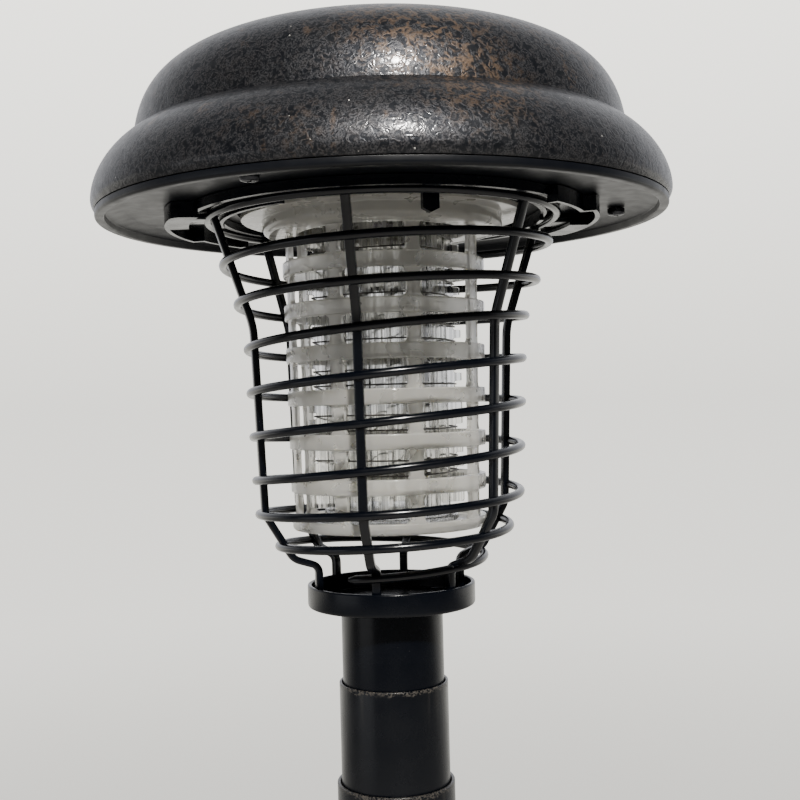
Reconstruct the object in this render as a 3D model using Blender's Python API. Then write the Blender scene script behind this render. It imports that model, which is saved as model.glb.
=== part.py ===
"""Solar garden light with a caged insect-killer lamp, on a telescoping ground stake.

Units are metres, +Z is up and z = 0 is the ground line. The lamp's axis is the Z axis.
A bearing is an angle round that axis: 0 faces -Y (the front) and 90 degrees faces +X.
Heights in the lamp are offsets from BAY, the middle of the caged bay.
"""

import math

import bmesh
import bpy
from mathutils import Matrix, Vector

MM = 0.001
GAP = 0.3 * MM             # clearance between pieces that touch
BAY = 295 * MM             # height of the middle of the caged bay

# Hood: two tiers, with a groove where they meet.
HOOD_RADIUS = 90.1 * MM
HOOD_EDGE = BAY + 60.2 * MM
HOOD_WIDEST = BAY + 63.0 * MM
GROOVE = BAY + 82.68 * MM
TIER_CENTRE = 66.6 * MM    # radius about which the lower tier's curve swells
TIER_RISE = 22.66 * MM
TIER_SQUARENESS = 1.80     # exponents of the superellipses that the two tiers follow
DOME_RADIUS = 77.39 * MM
DOME_CENTRE = BAY + 66.12 * MM
DOME_RISE = 46.27 * MM
DOME_SQUARENESS = 3.64
HOOD_WALL = 2.5 * MM
HOOD_SEGMENTS = 32

# Solar panel, sunk into a square well in the crown.
PANEL_HALF = 28.0 * MM
PANEL_CORNER = 4.5 * MM
WELL_FLOOR = BAY + 107.0 * MM
WELL_WALL = 2.2 * MM

# Base plate under the hood, its lip and its screws.
PLATE_UNDER = BAY + 61.0 * MM
PLATE_THICK = 2.0 * MM
PLATE_BEND = 80.5 * MM      # from here the underside slopes down to the lip
LIP_RADIUS = 89.0 * MM
LIP_BOTTOM = BAY + 57.6 * MM
PLATE_HOLE = 46.0 * MM
SCREW_CIRCLE = 75.5 * MM
SCREW_BEARINGS = (-27, 93, 213)
SCREW_HEAD_RADIUS = 2.75 * MM
SHANK_RADIUS = 1.5 * MM

# Bayonet collar: a channel for the cage hoop, with two lobes for its lugs. A lobe starts with
# a narrower lead-in and ends over a ledge, which carries the lug when the collar is locked.
COLLAR_INNER = 50.2 * MM
COLLAR_OUTER = 62.0 * MM
COLLAR_BOTTOM = BAY + 58.0 * MM
LEAD_IN_OUTER = 64.4 * MM
LOBE_OUTER = 68.2 * MM
LOBE_BOTTOM = BAY + 56.0 * MM
LOBE_WALL = 1.4 * MM
LOBE_STARTS = (51, 231)
LEAD_IN_TURN = 19
LEDGE_TURN = 44
LOBE_TURN = 66
SKIRT_BOTTOM = BAY + 57.0 * MM
SKIRT_STARTS = (-90, 90)
SKIRT_TURN = 57
LUG_BEARINGS = (102, 282)

# White lamp: flanged diffuser, slotted guard and clear core.
FLANGE_RADIUS = 44.7 * MM
FLANGE_BOTTOM = BAY + 58.2 * MM
DIFFUSER_BOTTOM = BAY + 53.6 * MM
DIFFUSER_HOLE = 27.0 * MM
GUARD_TOP_RADIUS = 31.9 * MM
GUARD_TAPER = 1.1 / 75     # loss of radius per unit of height going down
GUARD_RINGS = 6
GUARD_SEGMENTS = 24
RING_TOP_LEDGE = BAY + 40.0 * MM
RING_PITCH = 13.45 * MM
RING_HEIGHT = 4.7 * MM
RING_THICK = 2.3 * MM
GUARD_FLOOR = BAY - 39.0 * MM
RIB_COUNT = 8
RIB_FIRST = 16.5
RIB_WIDTH = 4.2 * MM
CORE_RADIUS = 19.6 * MM
CORE_BORE = 16.0 * MM
CORE_FLUTES = 18
CORE_BOTTOM = BAY - 32.6 * MM
CORE_TOP = BAY + 57.6 * MM
FIN_RADIUS = 25.3 * MM
FIN_FIRST = -73.5
WIRE_LOWEST = BAY - 26.7 * MM
WIRE_PITCH = 9.24 * MM
WIRE_TURNS = 8.5
WIRE_CIRCLE = 24.0 * MM         # where a live wire lies in a fin's notch
WIRE_NEAREST = 20.7 * MM        # where it runs past the core
WIRE_RADIUS = 0.45 * MM

# Cage: hoop, six bars, a spiral, and the dish at its foot.
HOOP_CIRCLE = 55.05 * MM
HOOP_HEIGHT = BAY + 58.2 * MM
ROD_RADIUS = 1.35 * MM
BAR_COUNT = 6
BAR_FIRST = -10.6
BAR_WIDTH = 2.7 * MM
BAR_THICK = 2.2 * MM
BAR_CORNERS = (             # radius, height above BAY, bend radius, all in millimetres
    (52.5, 56.2, 0),
    (41.9, 24.5, 25),
    (39.6, -33.5, 7),
    (31.0, -47.6, 5),
    (23.0, -50.2, 3),
    (23.0, -61.9, 0),
)
SPIRAL_END = 169.4         # bearing at which the spiral starts, at the top
SPIRAL_TURNS = 8 + 10 / 18
SPIRAL_PITCHES = (12.0, 13.7, 10.2)   # shoulder, body and foot, in millimetres
SPIRAL_TOP = 52.4          # millimetres above BAY
SPIRAL_STEPS = 18          # divides by six, so that a corner falls on every bar
SPIRAL_SWAY = 1.4 * MM     # how much more the wire climbs in front than behind, in the body
DISH_RADIUS = 26.6 * MM
DISH_TOP = BAY - 56.8 * MM
DISH_BOTTOM = BAY - 63.9 * MM

# Stake: neck, telescoping tube, outer tube and spike.
NECK_RADIUS = 16.15 * MM
NECK_BOTTOM = BAY - 123.0 * MM
UPPER_TUBE_RADIUS = 17.3 * MM
UPPER_TUBE_TOP = BAY - 88.1 * MM
LOWER_TUBE_RADIUS = 18.7 * MM
LOWER_TUBE_TOP = BAY - 119.7 * MM
SPIGOT_TOP = 45.0 * MM
SPIKE_FLANGE_RADIUS = 27.0 * MM
SPIKE_FLANGE_THICK = 3.0 * MM
SPIKE_DEPTH = 150.0 * MM

# Electronics in the hood.
BOARD_CENTRE = 66.0 * MM
BOARD_UNDER = BAY + 68.6 * MM
BOARD_THICK = 1.6 * MM
BATTERY_BEARING = 33
BATTERY_CIRCLE = 62.0 * MM
BATTERY_RADIUS = 7.1 * MM
BATTERY_LENGTH = 50.0 * MM
KNOB_TRAVEL = 4.0 * MM
KNOB_CENTRE = 69.0 * MM


# ---------------------------------------------------------------- helpers

def clear_scene():
    for thing in list(bpy.data.objects):
        bpy.data.objects.remove(thing, do_unlink=True)


def material(name, colour, roughness, metallic=0.0, alpha=1.0):
    made = bpy.data.materials.new(name)
    made.use_nodes = True
    shader = made.node_tree.nodes["Principled BSDF"]
    shader.inputs["Base Color"].default_value = (*colour, 1.0)
    shader.inputs["Roughness"].default_value = roughness
    shader.inputs["Metallic"].default_value = metallic
    shader.inputs["Alpha"].default_value = alpha
    return made


def at_bearing(radius, bearing, height):
    angle = math.radians(bearing)
    return Vector((radius * math.sin(angle), -radius * math.cos(angle), height))


def turned_to(bearing):
    """Rotation that carries the front of the object to a bearing."""
    return Matrix.Rotation(math.radians(bearing), 4, "Z")


def finish(name, bm, finish_material, parent=None, smooth_angle=30):
    """Closes a bmesh into a named object with outward faces."""
    bmesh.ops.recalc_face_normals(bm, faces=bm.faces)
    mesh = bpy.data.meshes.new(name)
    bm.to_mesh(mesh)
    bm.free()
    mesh.shade_smooth()
    mesh.set_sharp_from_angle(angle=math.radians(smooth_angle))
    thing = bpy.data.objects.new(name, mesh)
    bpy.context.scene.collection.objects.link(thing)
    if finish_material is not None:
        mesh.materials.append(finish_material)
    if parent is not None:
        thing.parent = parent
        thing.matrix_parent_inverse = parent.matrix_world.inverted()
    return thing


def joint_empty(name, location, parent=None):
    marker = bpy.data.objects.new(name, None)
    marker.empty_display_size = 0.02
    bpy.context.scene.collection.objects.link(marker)
    marker.location = location
    if parent is not None:
        marker.parent = parent
        marker.matrix_parent_inverse = parent.matrix_world.inverted()
    bpy.context.view_layer.update()
    return marker


def revolve(profile, segments=32, bearing=0):
    """Turns a closed outline of (radius, height) points round the Z axis."""
    bm = bmesh.new()
    rings = []
    for radius, height in profile:
        if radius <= 0:
            rings.append([bm.verts.new((0, 0, height))])
            continue
        turn = [bm.verts.new(at_bearing(radius, bearing + 360 * step / segments, height))
                for step in range(segments)]
        rings.append(turn)
    for low, high in zip(rings, rings[1:] + rings[:1]):
        if len(low) == 1 and len(high) == 1:
            continue
        for step in range(segments):
            after = (step + 1) % segments
            corners = [low[step % len(low)], low[after % len(low)],
                       high[after % len(high)], high[step % len(high)]]
            distinct = list(dict.fromkeys(corners))
            bm.faces.new(distinct)
    return bm


def rod(radius, low, high, segments=16, at=(0, 0)):
    """A solid upright cylinder."""
    bm = revolve([(0, low), (radius, low), (radius, high), (0, high)], segments)
    bmesh.ops.translate(bm, verts=bm.verts, vec=(at[0], at[1], 0))
    return bm


def prism(outline, low, high):
    """An upright prism over a closed outline of (x, y) points."""
    bm = bmesh.new()
    base = [bm.verts.new((x, y, low)) for x, y in outline]
    top = [bm.verts.new((x, y, high)) for x, y in outline]
    bm.faces.new(base)
    bm.faces.new(top)
    for index in range(len(outline)):
        after = (index + 1) % len(outline)
        bm.faces.new((base[index], base[after], top[after], top[index]))
    return bm


def block(low, high):
    """A box between two corners."""
    outline = [(low[0], low[1]), (high[0], low[1]), (high[0], high[1]), (low[0], high[1])]
    return prism(outline, low[2], high[2])


def rounded_square(half, corner, steps=3):
    """Outline of a square with rounded corners, centred on the axis."""
    outline = []
    for quarter in range(4):
        turn = math.radians(90 * quarter)
        centre_x = (half - corner) * (math.cos(turn) - math.sin(turn))
        centre_y = (half - corner) * (math.sin(turn) + math.cos(turn))
        for step in range(steps + 1):
            angle = turn + math.radians(90) * step / steps
            outline.append((centre_x + corner * math.cos(angle),
                            centre_y + corner * math.sin(angle)))
    return outline


def arc_strip(inner, outer, first, last):
    """Outline of a curved strip between two radii and two bearings, with a point every 6 degrees."""
    half_angle = (last - first) / 2
    return sector(inner, outer, first + half_angle, half_angle, math.ceil(half_angle / 3))


def sector(inner, outer, centre, half_angle, steps=10):
    """Outline of a curved strip between two radii, centred on a bearing."""
    bearings = [centre - half_angle + 2 * half_angle * step / steps for step in range(steps + 1)]
    inside = [at_bearing(inner, bearing, 0).to_2d() for bearing in bearings]
    outside = [at_bearing(outer, bearing, 0).to_2d() for bearing in reversed(bearings)]
    return [tuple(point) for point in inside + outside]


def sweep(points, section, sideways=None):
    """Carries a closed section along a path; sideways fixes the section's first axis."""
    bm = bmesh.new()
    rings = []
    last = len(points) - 1
    reference = Vector((0, 0, 1))
    for index, point in enumerate(points):
        ahead = points[min(index + 1, last)]
        behind = points[max(index - 1, 0)]
        tangent = (ahead - behind).normalized()
        if sideways is None:
            side = reference.cross(tangent)
            if side.length < 1e-3:
                side = Vector((1, 0, 0)).cross(tangent)
        else:
            side = sideways
        side = (side - tangent * side.dot(tangent)).normalized()
        up = tangent.cross(side)
        rings.append([bm.verts.new(point + side * u + up * v) for u, v in section])
    sides = len(section)
    for near, far in zip(rings, rings[1:]):
        for index in range(sides):
            after = (index + 1) % sides
            bm.faces.new((near[index], near[after], far[after], far[index]))
    bm.faces.new(rings[0])
    bm.faces.new(rings[-1])
    return bm


def circle_section(radius, sides):
    return [(radius * math.cos(2 * math.pi * step / sides),
             radius * math.sin(2 * math.pi * step / sides)) for step in range(sides)]


def filleted(corners, steps=4):
    """Points along a polyline whose corners (x, y, bend radius) are rounded by arcs."""
    path = [Vector(corners[0][:2])]
    for before, corner, after in zip(corners, corners[1:], corners[2:]):
        here = Vector(corner[:2])
        inward = (Vector(before[:2]) - here).normalized()
        outward = (Vector(after[:2]) - here).normalized()
        half = inward.angle(outward) / 2
        cut = corner[2] / math.tan(half)
        centre = here + (inward + outward).normalized() * (corner[2] / math.sin(half))
        start = here + inward * cut - centre
        end = here + outward * cut - centre
        total = start.angle(end)
        for step in range(steps + 1):
            part = step / steps
            spoke = (start * math.sin((1 - part) * total)
                     + end * math.sin(part * total)) / math.sin(total)
            path.append(centre + spoke)
    path.append(Vector(corners[-1][:2]))
    return path


def combine(body, tool, operation):
    """Joins or cuts one object with another and removes the tool."""
    modifier = body.modifiers.new("combine", "BOOLEAN")
    modifier.operation = operation
    modifier.solver = "EXACT"
    modifier.object = tool
    depsgraph = bpy.context.evaluated_depsgraph_get()
    result = bpy.data.meshes.new_from_object(body.evaluated_get(depsgraph))
    body.modifiers.clear()
    old = body.data
    body.data = result
    result.name = old.name
    bpy.data.meshes.remove(old)
    bpy.data.objects.remove(tool, do_unlink=True)


def unite(body, *shapes):
    for shape in shapes:
        combine(body, finish("tool", shape, None), "UNION")


def cut(body, *shapes):
    for shape in shapes:
        combine(body, finish("tool", shape, None), "DIFFERENCE")


# ---------------------------------------------------------------- hood

def swell(centre, reach, base, rise, squareness, low, high, steps):
    """Points of a superellipse's quarter between two heights, from the outside inwards."""
    first, last = [math.asin(min((height - base) / rise, 1) ** (squareness / 2))
                   for height in (low, high)]
    curve = []
    for step in range(steps + 1):
        angle = first + (last - first) * step / steps
        radius = centre + reach * max(math.cos(angle), 0) ** (2 / squareness)
        curve.append((radius, base + rise * math.sin(angle) ** (2 / squareness)))
    return curve


def hood_outline(tier_steps, dome_steps):
    """Outer curve of the hood from its widest point to the crown."""
    tier = swell(TIER_CENTRE, HOOD_RADIUS - TIER_CENTRE, HOOD_WIDEST, TIER_RISE, TIER_SQUARENESS,
                 HOOD_WIDEST, GROOVE, tier_steps)
    dome = swell(0, DOME_RADIUS, DOME_CENTRE, DOME_RISE, DOME_SQUARENESS,
                 GROOVE, DOME_CENTRE + DOME_RISE, dome_steps)
    return tier[:-1] + dome


def inset(curve, depth):
    """Moves a curve towards the inside by its wall thickness."""
    inner = []
    for index in range(1, len(curve) - 1):
        before = Vector(curve[index - 1])
        after = Vector(curve[index + 1])
        along = (after - before).normalized()
        point = Vector(curve[index]) + Vector((-along.y, along.x)) * depth
        inner.append((point.x, point.y))
    inner.append((0, curve[-1][1] - depth))
    return inner


def make_hood(skin, parent):
    outer = hood_outline(5, 9)
    outer[-1] = (0, outer[-1][1])
    inner = inset(hood_outline(4, 7), HOOD_WALL)
    edge_radius = HOOD_RADIUS - 0.8 * MM
    rim = [(edge_radius - 1.9 * MM, HOOD_EDGE), (edge_radius, HOOD_EDGE)]
    profile = rim + outer + inner[::-1]
    hood = finish("hood_shell", revolve(profile, HOOD_SEGMENTS), skin, parent)
    well_half = PANEL_HALF + 0.5 * MM
    well = prism(rounded_square(well_half + WELL_WALL, PANEL_CORNER + WELL_WALL),
                 WELL_FLOOR - WELL_WALL, BAY + 110.6 * MM)
    unite(hood, well)
    for bearing in SCREW_BEARINGS:
        centre = at_bearing(SCREW_CIRCLE, bearing, 0)
        unite(hood, rod(3.6 * MM, PLATE_UNDER + PLATE_THICK + GAP, BAY + 80.3 * MM, 12, centre))
        cut(hood, rod(SHANK_RADIUS + GAP, HOOD_EDGE, BAY + 74 * MM, 12, centre))
    cut(hood,
        prism(rounded_square(well_half, PANEL_CORNER + 0.5 * MM), WELL_FLOOR, BAY + 125 * MM),
        prism(rounded_square(24 * MM, 3 * MM), BAY + 100 * MM, BAY + 109 * MM))
    return hood


def make_panel(looks, parent):
    gasket_low = WELL_FLOOR + GAP
    gasket_high = gasket_low + 0.7 * MM
    board_low = gasket_high + GAP
    board_high = board_low + 1.5 * MM
    window_low = board_high + GAP
    window_high = window_low + 0.9 * MM
    gasket = finish("panel_gasket", prism(rounded_square(PANEL_HALF, PANEL_CORNER),
                                          gasket_low, gasket_high), looks["foam"], parent)
    cut(gasket, prism(rounded_square(25 * MM, 3 * MM), BAY + 100 * MM, BAY + 120 * MM))
    finish("solar_panel", prism(rounded_square(PANEL_HALF, PANEL_CORNER),
                                board_low, board_high), looks["solar_cell"], parent)
    finish("panel_window", prism(rounded_square(PANEL_HALF, PANEL_CORNER),
                                 window_low, window_high), looks["clear_cover"], parent)
    return board_low


# ---------------------------------------------------------------- base plate and collar

def make_base_plate(looks, parent):
    top = PLATE_UNDER + PLATE_THICK
    profile = [
        (PLATE_HOLE, top),
        (PLATE_HOLE, PLATE_UNDER),
        (PLATE_BEND, PLATE_UNDER),
        (85.6 * MM, LIP_BOTTOM + 2.0 * MM),
        (86.2 * MM, LIP_BOTTOM + 0.7 * MM),
        (87.1 * MM, LIP_BOTTOM),
        (88.3 * MM, LIP_BOTTOM),
        (LIP_RADIUS, LIP_BOTTOM + 0.7 * MM),
        (LIP_RADIUS, HOOD_EDGE - GAP),
        (86.8 * MM, HOOD_EDGE - GAP),
        (86.8 * MM, top),
    ]
    plate = finish("base_plate", revolve(profile, HOOD_SEGMENTS), looks["black_plastic"], parent)
    for side in (-1, 1):
        unite(plate, rod(2.5 * MM, top - 0.5 * MM, BOARD_UNDER - GAP, 10,
                         (side * 21 * MM, BOARD_CENTRE - 8 * MM)))
    for bearing in SCREW_BEARINGS:
        centre = at_bearing(SCREW_CIRCLE, bearing, 0)
        cut(plate, rod(SHANK_RADIUS + GAP, LIP_BOTTOM, top + MM, 12, centre))
    slot_half = (KNOB_TRAVEL + 3.4 * MM) / 2 + GAP
    cut(plate, block((-slot_half, KNOB_CENTRE - 2 * MM, LIP_BOTTOM),
                     (slot_half, KNOB_CENTRE + 2 * MM, top + MM)))


def make_screws(looks, parent):
    head_low = PLATE_UNDER - GAP - 2.2 * MM
    profile = [
        (0, head_low + 0.5 * MM),
        (0.8 * MM, head_low + 0.5 * MM),
        (1.1 * MM, head_low),
        (SCREW_HEAD_RADIUS - 0.4 * MM, head_low),
        (SCREW_HEAD_RADIUS, head_low + 0.5 * MM),
        (SCREW_HEAD_RADIUS, PLATE_UNDER - GAP),
        (SHANK_RADIUS, PLATE_UNDER - GAP),
        (SHANK_RADIUS, BAY + 72 * MM),
        (0, BAY + 73.5 * MM),
    ]
    for number, bearing in enumerate(SCREW_BEARINGS, 1):
        bm = revolve(profile, 12)
        bmesh.ops.translate(bm, verts=bm.verts, vec=at_bearing(SCREW_CIRCLE, bearing, 0))
        finish(f"base_screw_{number}", bm, looks["screw_steel"], parent)


def make_collar(looks, parent):
    top = PLATE_UNDER - GAP
    ceiling = top - 0.8 * MM
    profile = [
        (COLLAR_INNER, top),
        (COLLAR_INNER, COLLAR_BOTTOM + 0.4 * MM),
        (COLLAR_INNER + 1.8 * MM, COLLAR_BOTTOM + 0.4 * MM),
        (COLLAR_INNER + 2.2 * MM, ceiling),
        (COLLAR_OUTER - 2.2 * MM, ceiling),
        (COLLAR_OUTER - 1.8 * MM, COLLAR_BOTTOM),
        (COLLAR_OUTER, COLLAR_BOTTOM),
        (COLLAR_OUTER, top),
    ]
    collar = finish("bayonet_collar", revolve(profile, 40), looks["black_plastic"], parent)
    for start in SKIRT_STARTS:
        unite(collar, prism(arc_strip(COLLAR_INNER, COLLAR_INNER + 1.3 * MM, start,
                                      start + SKIRT_TURN), SKIRT_BOTTOM, COLLAR_BOTTOM + 1.2 * MM))
    lobe_inner = COLLAR_OUTER - 1.2 * MM
    pocket_inner = COLLAR_OUTER - 4.5 * MM
    low = LOBE_BOTTOM - MM
    for start in LOBE_STARTS:
        ledge = start + LEDGE_TURN
        last = start + LOBE_TURN
        step = start + LEAD_IN_TURN
        unite(collar, prism(arc_strip(lobe_inner, LEAD_IN_OUTER, start, step), LOBE_BOTTOM, top),
              prism(arc_strip(lobe_inner, LOBE_OUTER, step, last), LOBE_BOTTOM, top))
        cut(collar, prism(arc_strip(pocket_inner, LEAD_IN_OUTER - LOBE_WALL, start + 1.6,
                                    step + 3), low, ceiling),
            prism(arc_strip(pocket_inner, LOBE_OUTER - LOBE_WALL, step + 1.6, ledge),
                  low, ceiling),
            prism(arc_strip(pocket_inner, LOBE_OUTER - LOBE_WALL, ledge - 1, last - 1.6),
                  LOBE_BOTTOM + MM, ceiling))
    tab_low = BAY + 52.6 * MM
    tab = prism([(-2.4 * MM, 0), (2.4 * MM, 0), (1.2 * MM, 2.2 * MM), (-1.2 * MM, 2.2 * MM)],
                tab_low, COLLAR_BOTTOM + 1.4 * MM)
    bmesh.ops.translate(tab, verts=tab.verts, vec=(0, -50.0 * MM, 0))
    neck = block((-2.4 * MM, -52.0 * MM, COLLAR_BOTTOM + 0.6 * MM),
                 (2.4 * MM, -48.4 * MM, COLLAR_BOTTOM + 1.6 * MM))
    for shape in (neck, tab):
        bmesh.ops.transform(shape, matrix=turned_to(16), verts=shape.verts)
        unite(collar, shape)


# ---------------------------------------------------------------- lamp

def make_lamp_cup(looks, parent):
    floor_low = FLANGE_BOTTOM + 2.1 * MM
    flange_low = PLATE_UNDER + PLATE_THICK + GAP
    profile = [
        (12 * MM, floor_low),
        (44.4 * MM, floor_low),
        (44.4 * MM, flange_low),
        (49.5 * MM, flange_low),
        (49.5 * MM, flange_low + 1.5 * MM),
        (42.9 * MM, flange_low + 1.5 * MM),
        (42.9 * MM, floor_low + 1.5 * MM),
        (12 * MM, floor_low + 1.5 * MM),
    ]
    finish("lamp_cup", revolve(profile, 32), looks["black_plastic"], parent)


def make_diffuser(looks, parent):
    top = FLANGE_BOTTOM + 1.8 * MM
    skirt = 38.0 * MM
    round_off = 2.4 * MM
    corner = [(skirt - round_off + round_off * math.cos(math.radians(angle)),
               DIFFUSER_BOTTOM + round_off - round_off * math.sin(math.radians(angle)))
              for angle in (0, 30, 60, 90)]
    profile = [
        (DIFFUSER_HOLE, DIFFUSER_BOTTOM + 1.6 * MM),
        (skirt - 2.2 * MM, DIFFUSER_BOTTOM + 1.6 * MM),
        (skirt - 1.8 * MM, DIFFUSER_BOTTOM + 2.4 * MM),
        (skirt - 1.8 * MM, top),
        (FLANGE_RADIUS, top),
        (FLANGE_RADIUS, FLANGE_BOTTOM),
        (skirt, FLANGE_BOTTOM),
        *corner,
        (DIFFUSER_HOLE, DIFFUSER_BOTTOM),
    ]
    finish("diffuser_disc", revolve(profile, 32), looks["milky_plastic"], parent)


def guard_radius(height):
    """Outer radius of the tapering guard at a height."""
    return GUARD_TOP_RADIUS - (RING_TOP_LEDGE - height) * GUARD_TAPER


def make_guard(looks, parent):
    rim = guard_radius(GUARD_FLOOR)
    tray = [
        (0, GUARD_FLOOR),
        (rim - 0.8 * MM, GUARD_FLOOR),
        (rim, GUARD_FLOOR + 0.8 * MM),
        (rim, GUARD_FLOOR + 3.4 * MM),
        (rim - 2.0 * MM, GUARD_FLOOR + 3.4 * MM),
        (rim - 2.0 * MM, GUARD_FLOOR + 1.6 * MM),
        (0, GUARD_FLOOR + 1.6 * MM),
    ]
    guard = finish("inner_guard", revolve(tray, GUARD_SEGMENTS), looks["milky_plastic"], parent)
    rib_top = DIFFUSER_BOTTOM - GAP
    rib_low = GUARD_FLOOR + 1.0 * MM
    half = RIB_WIDTH / 2
    for number in range(RIB_COUNT):
        bearing = RIB_FIRST + 360 * number / RIB_COUNT
        points = [at_bearing(guard_radius(height) - 1.7 * MM, bearing, height)
                  for height in (rib_low, rib_top)]
        section = [(-half, -0.9 * MM), (half, -0.9 * MM), (half, 0.9 * MM), (-half, 0.9 * MM)]
        tangent = at_bearing(1, bearing + 90, 0)
        unite(guard, sweep(points, section, tangent))
    for number in range(GUARD_RINGS):
        low = RING_TOP_LEDGE - number * RING_PITCH
        outer = guard_radius(low)
        unite(guard, revolve([(outer - RING_THICK, low), (outer, low),
                              (outer, low + RING_HEIGHT), (outer - RING_THICK, low + RING_HEIGHT)],
                             GUARD_SEGMENTS))


def make_core(looks, parent):
    """A clear fluted tube with four notched fins that carry the two live wires."""
    bm = bmesh.new()
    rings = []
    for height in (CORE_BOTTOM, CORE_TOP):
        outer = []
        inner = []
        for step in range(CORE_FLUTES * 2):
            bearing = 180 * step / CORE_FLUTES
            radius = CORE_RADIUS if step % 2 else CORE_RADIUS - 0.9 * MM
            outer.append(bm.verts.new(at_bearing(radius, bearing, height)))
            inner.append(bm.verts.new(at_bearing(CORE_BORE, bearing, height)))
        rings.append((outer, inner))
    (low_out, low_in), (high_out, high_in) = rings
    for step in range(CORE_FLUTES * 2):
        after = (step + 1) % (CORE_FLUTES * 2)
        bm.faces.new((low_out[step], low_out[after], high_out[after], high_out[step]))
        bm.faces.new((low_in[step], low_in[after], high_in[after], high_in[step]))
        bm.faces.new((low_out[step], low_out[after], low_in[after], low_in[step]))
        bm.faces.new((high_out[step], high_out[after], high_in[after], high_in[step]))
    core = finish("light_core", bm, looks["clear_plastic"], parent)
    for number in range(4):
        unite(core, fin_shape(number))


def wire_point(strand, travel):
    """A live wire's radius and height, by the degrees it has travelled from the first fin.

    It is pulled straight from fin to fin, runs level over the front half and climbs over the rear.
    """
    turn, part = divmod(travel, 360)
    climb = max(0, part - 180) / 180
    height = WIRE_LOWEST + WIRE_PITCH * (turn + climb + strand / 2)
    off_fin = min(travel % 90, 90 - travel % 90)
    free = math.degrees(math.acos(WIRE_NEAREST / WIRE_CIRCLE))
    radius = WIRE_NEAREST / math.cos(math.radians(max(0, free - off_fin)))
    return radius, height


def fin_shape(number):
    """One radial fin, with a notch wherever a live wire crosses it."""
    bearing = FIN_FIRST + 90 * number
    root = CORE_BORE + 1.5 * MM
    notch_floor = 22.6 * MM
    notch_half = WIRE_RADIUS + 0.6 * MM
    low = CORE_BOTTOM + 0.2 * MM
    high = CORE_TOP - 2 * MM
    crossings = []
    travel = 90 * number
    while travel <= WIRE_TURNS * 360:
        crossings += [wire_point(strand, travel)[1] for strand in (0, 1)]
        travel += 360
    edge = [(FIN_RADIUS, low)]
    for height in sorted(crossings):
        edge += [(FIN_RADIUS, height - notch_half), (notch_floor, height - notch_half),
                 (notch_floor, height + notch_half), (FIN_RADIUS, height + notch_half)]
    edge.append((FIN_RADIUS, high))
    outline = [(root, low), *edge, (root, high)]
    bm = bmesh.new()
    sides = []
    for offset in (-0.8 * MM, 0.8 * MM):
        sides.append([bm.verts.new((offset, -radius, height)) for radius, height in outline])
    near, far = sides
    bm.faces.new(near)
    bm.faces.new(far)
    for index in range(len(outline)):
        after = (index + 1) % len(outline)
        bm.faces.new((near[index], near[after], far[after], far[index]))
    bmesh.ops.transform(bm, matrix=turned_to(bearing), verts=bm.verts)
    return bm


def make_live_wires(looks, parent):
    step = 22.5            # a quarter of the way from fin to fin, so a corner falls on every fin
    for strand, name in enumerate(("live_wire_a", "live_wire_b")):
        points = []
        for count in range(int(WIRE_TURNS * 360 / step) + 1):
            radius, height = wire_point(strand, count * step)
            points.append(at_bearing(radius, FIN_FIRST + count * step, height))
        finish(name, sweep(points, circle_section(WIRE_RADIUS, 4)), looks["wire_steel"], parent)


def make_lamp_fittings(looks, parent):
    cap = [
        (0, GUARD_FLOOR + 1.6 * MM + GAP),
        (22 * MM, GUARD_FLOOR + 1.6 * MM + GAP),
        (22 * MM, CORE_BOTTOM - GAP),
        (0, CORE_BOTTOM - GAP),
    ]
    finish("core_cap", revolve(cap, 24), looks["clear_plastic"], parent)
    board_low = FLANGE_BOTTOM + 0.2 * MM
    ring = [(5 * MM, board_low), (22 * MM, board_low),
            (22 * MM, board_low + 1.6 * MM), (5 * MM, board_low + 1.6 * MM)]
    finish("led_board", revolve(ring, 24), looks["white_board"], parent)
    lens_top = board_low - GAP
    lens = [(0, lens_top - 4.6 * MM), (1.6 * MM, lens_top - 4.0 * MM), (2.4 * MM, lens_top - 2.4 * MM),
            (2.4 * MM, lens_top), (0, lens_top)]
    for number in range(4):
        bm = revolve(lens, 10)
        place = at_bearing(10 * MM, 45 + 90 * number, 0)
        bmesh.ops.translate(bm, verts=bm.verts, vec=place)
        finish(f"uv_led_{number + 1}", bm, looks["led_lens"], parent)


# ---------------------------------------------------------------- electronics

def make_board(looks, parent):
    low = (-25 * MM, BOARD_CENTRE - 11 * MM, BOARD_UNDER)
    high = (25 * MM, BOARD_CENTRE + 11 * MM, BOARD_UNDER + BOARD_THICK)
    finish("circuit_board", block(low, high), looks["green_board"], parent)
    on_board = BOARD_UNDER + BOARD_THICK + GAP
    finish("step_up_transformer", block((-20 * MM, 58 * MM, on_board),
                                        (-6 * MM, 70 * MM, on_board + 11 * MM)),
           looks["transformer_tape"], parent)
    finish("storage_capacitor", rod(4 * MM, on_board, on_board + 12 * MM, 16, (17 * MM, 61 * MM)),
           looks["capacitor_sleeve"], parent)
    finish("film_capacitor", block((10 * MM, 68 * MM, on_board),
                                   (21 * MM, 73 * MM, on_board + 8 * MM)),
           looks["film_red"], parent)


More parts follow.
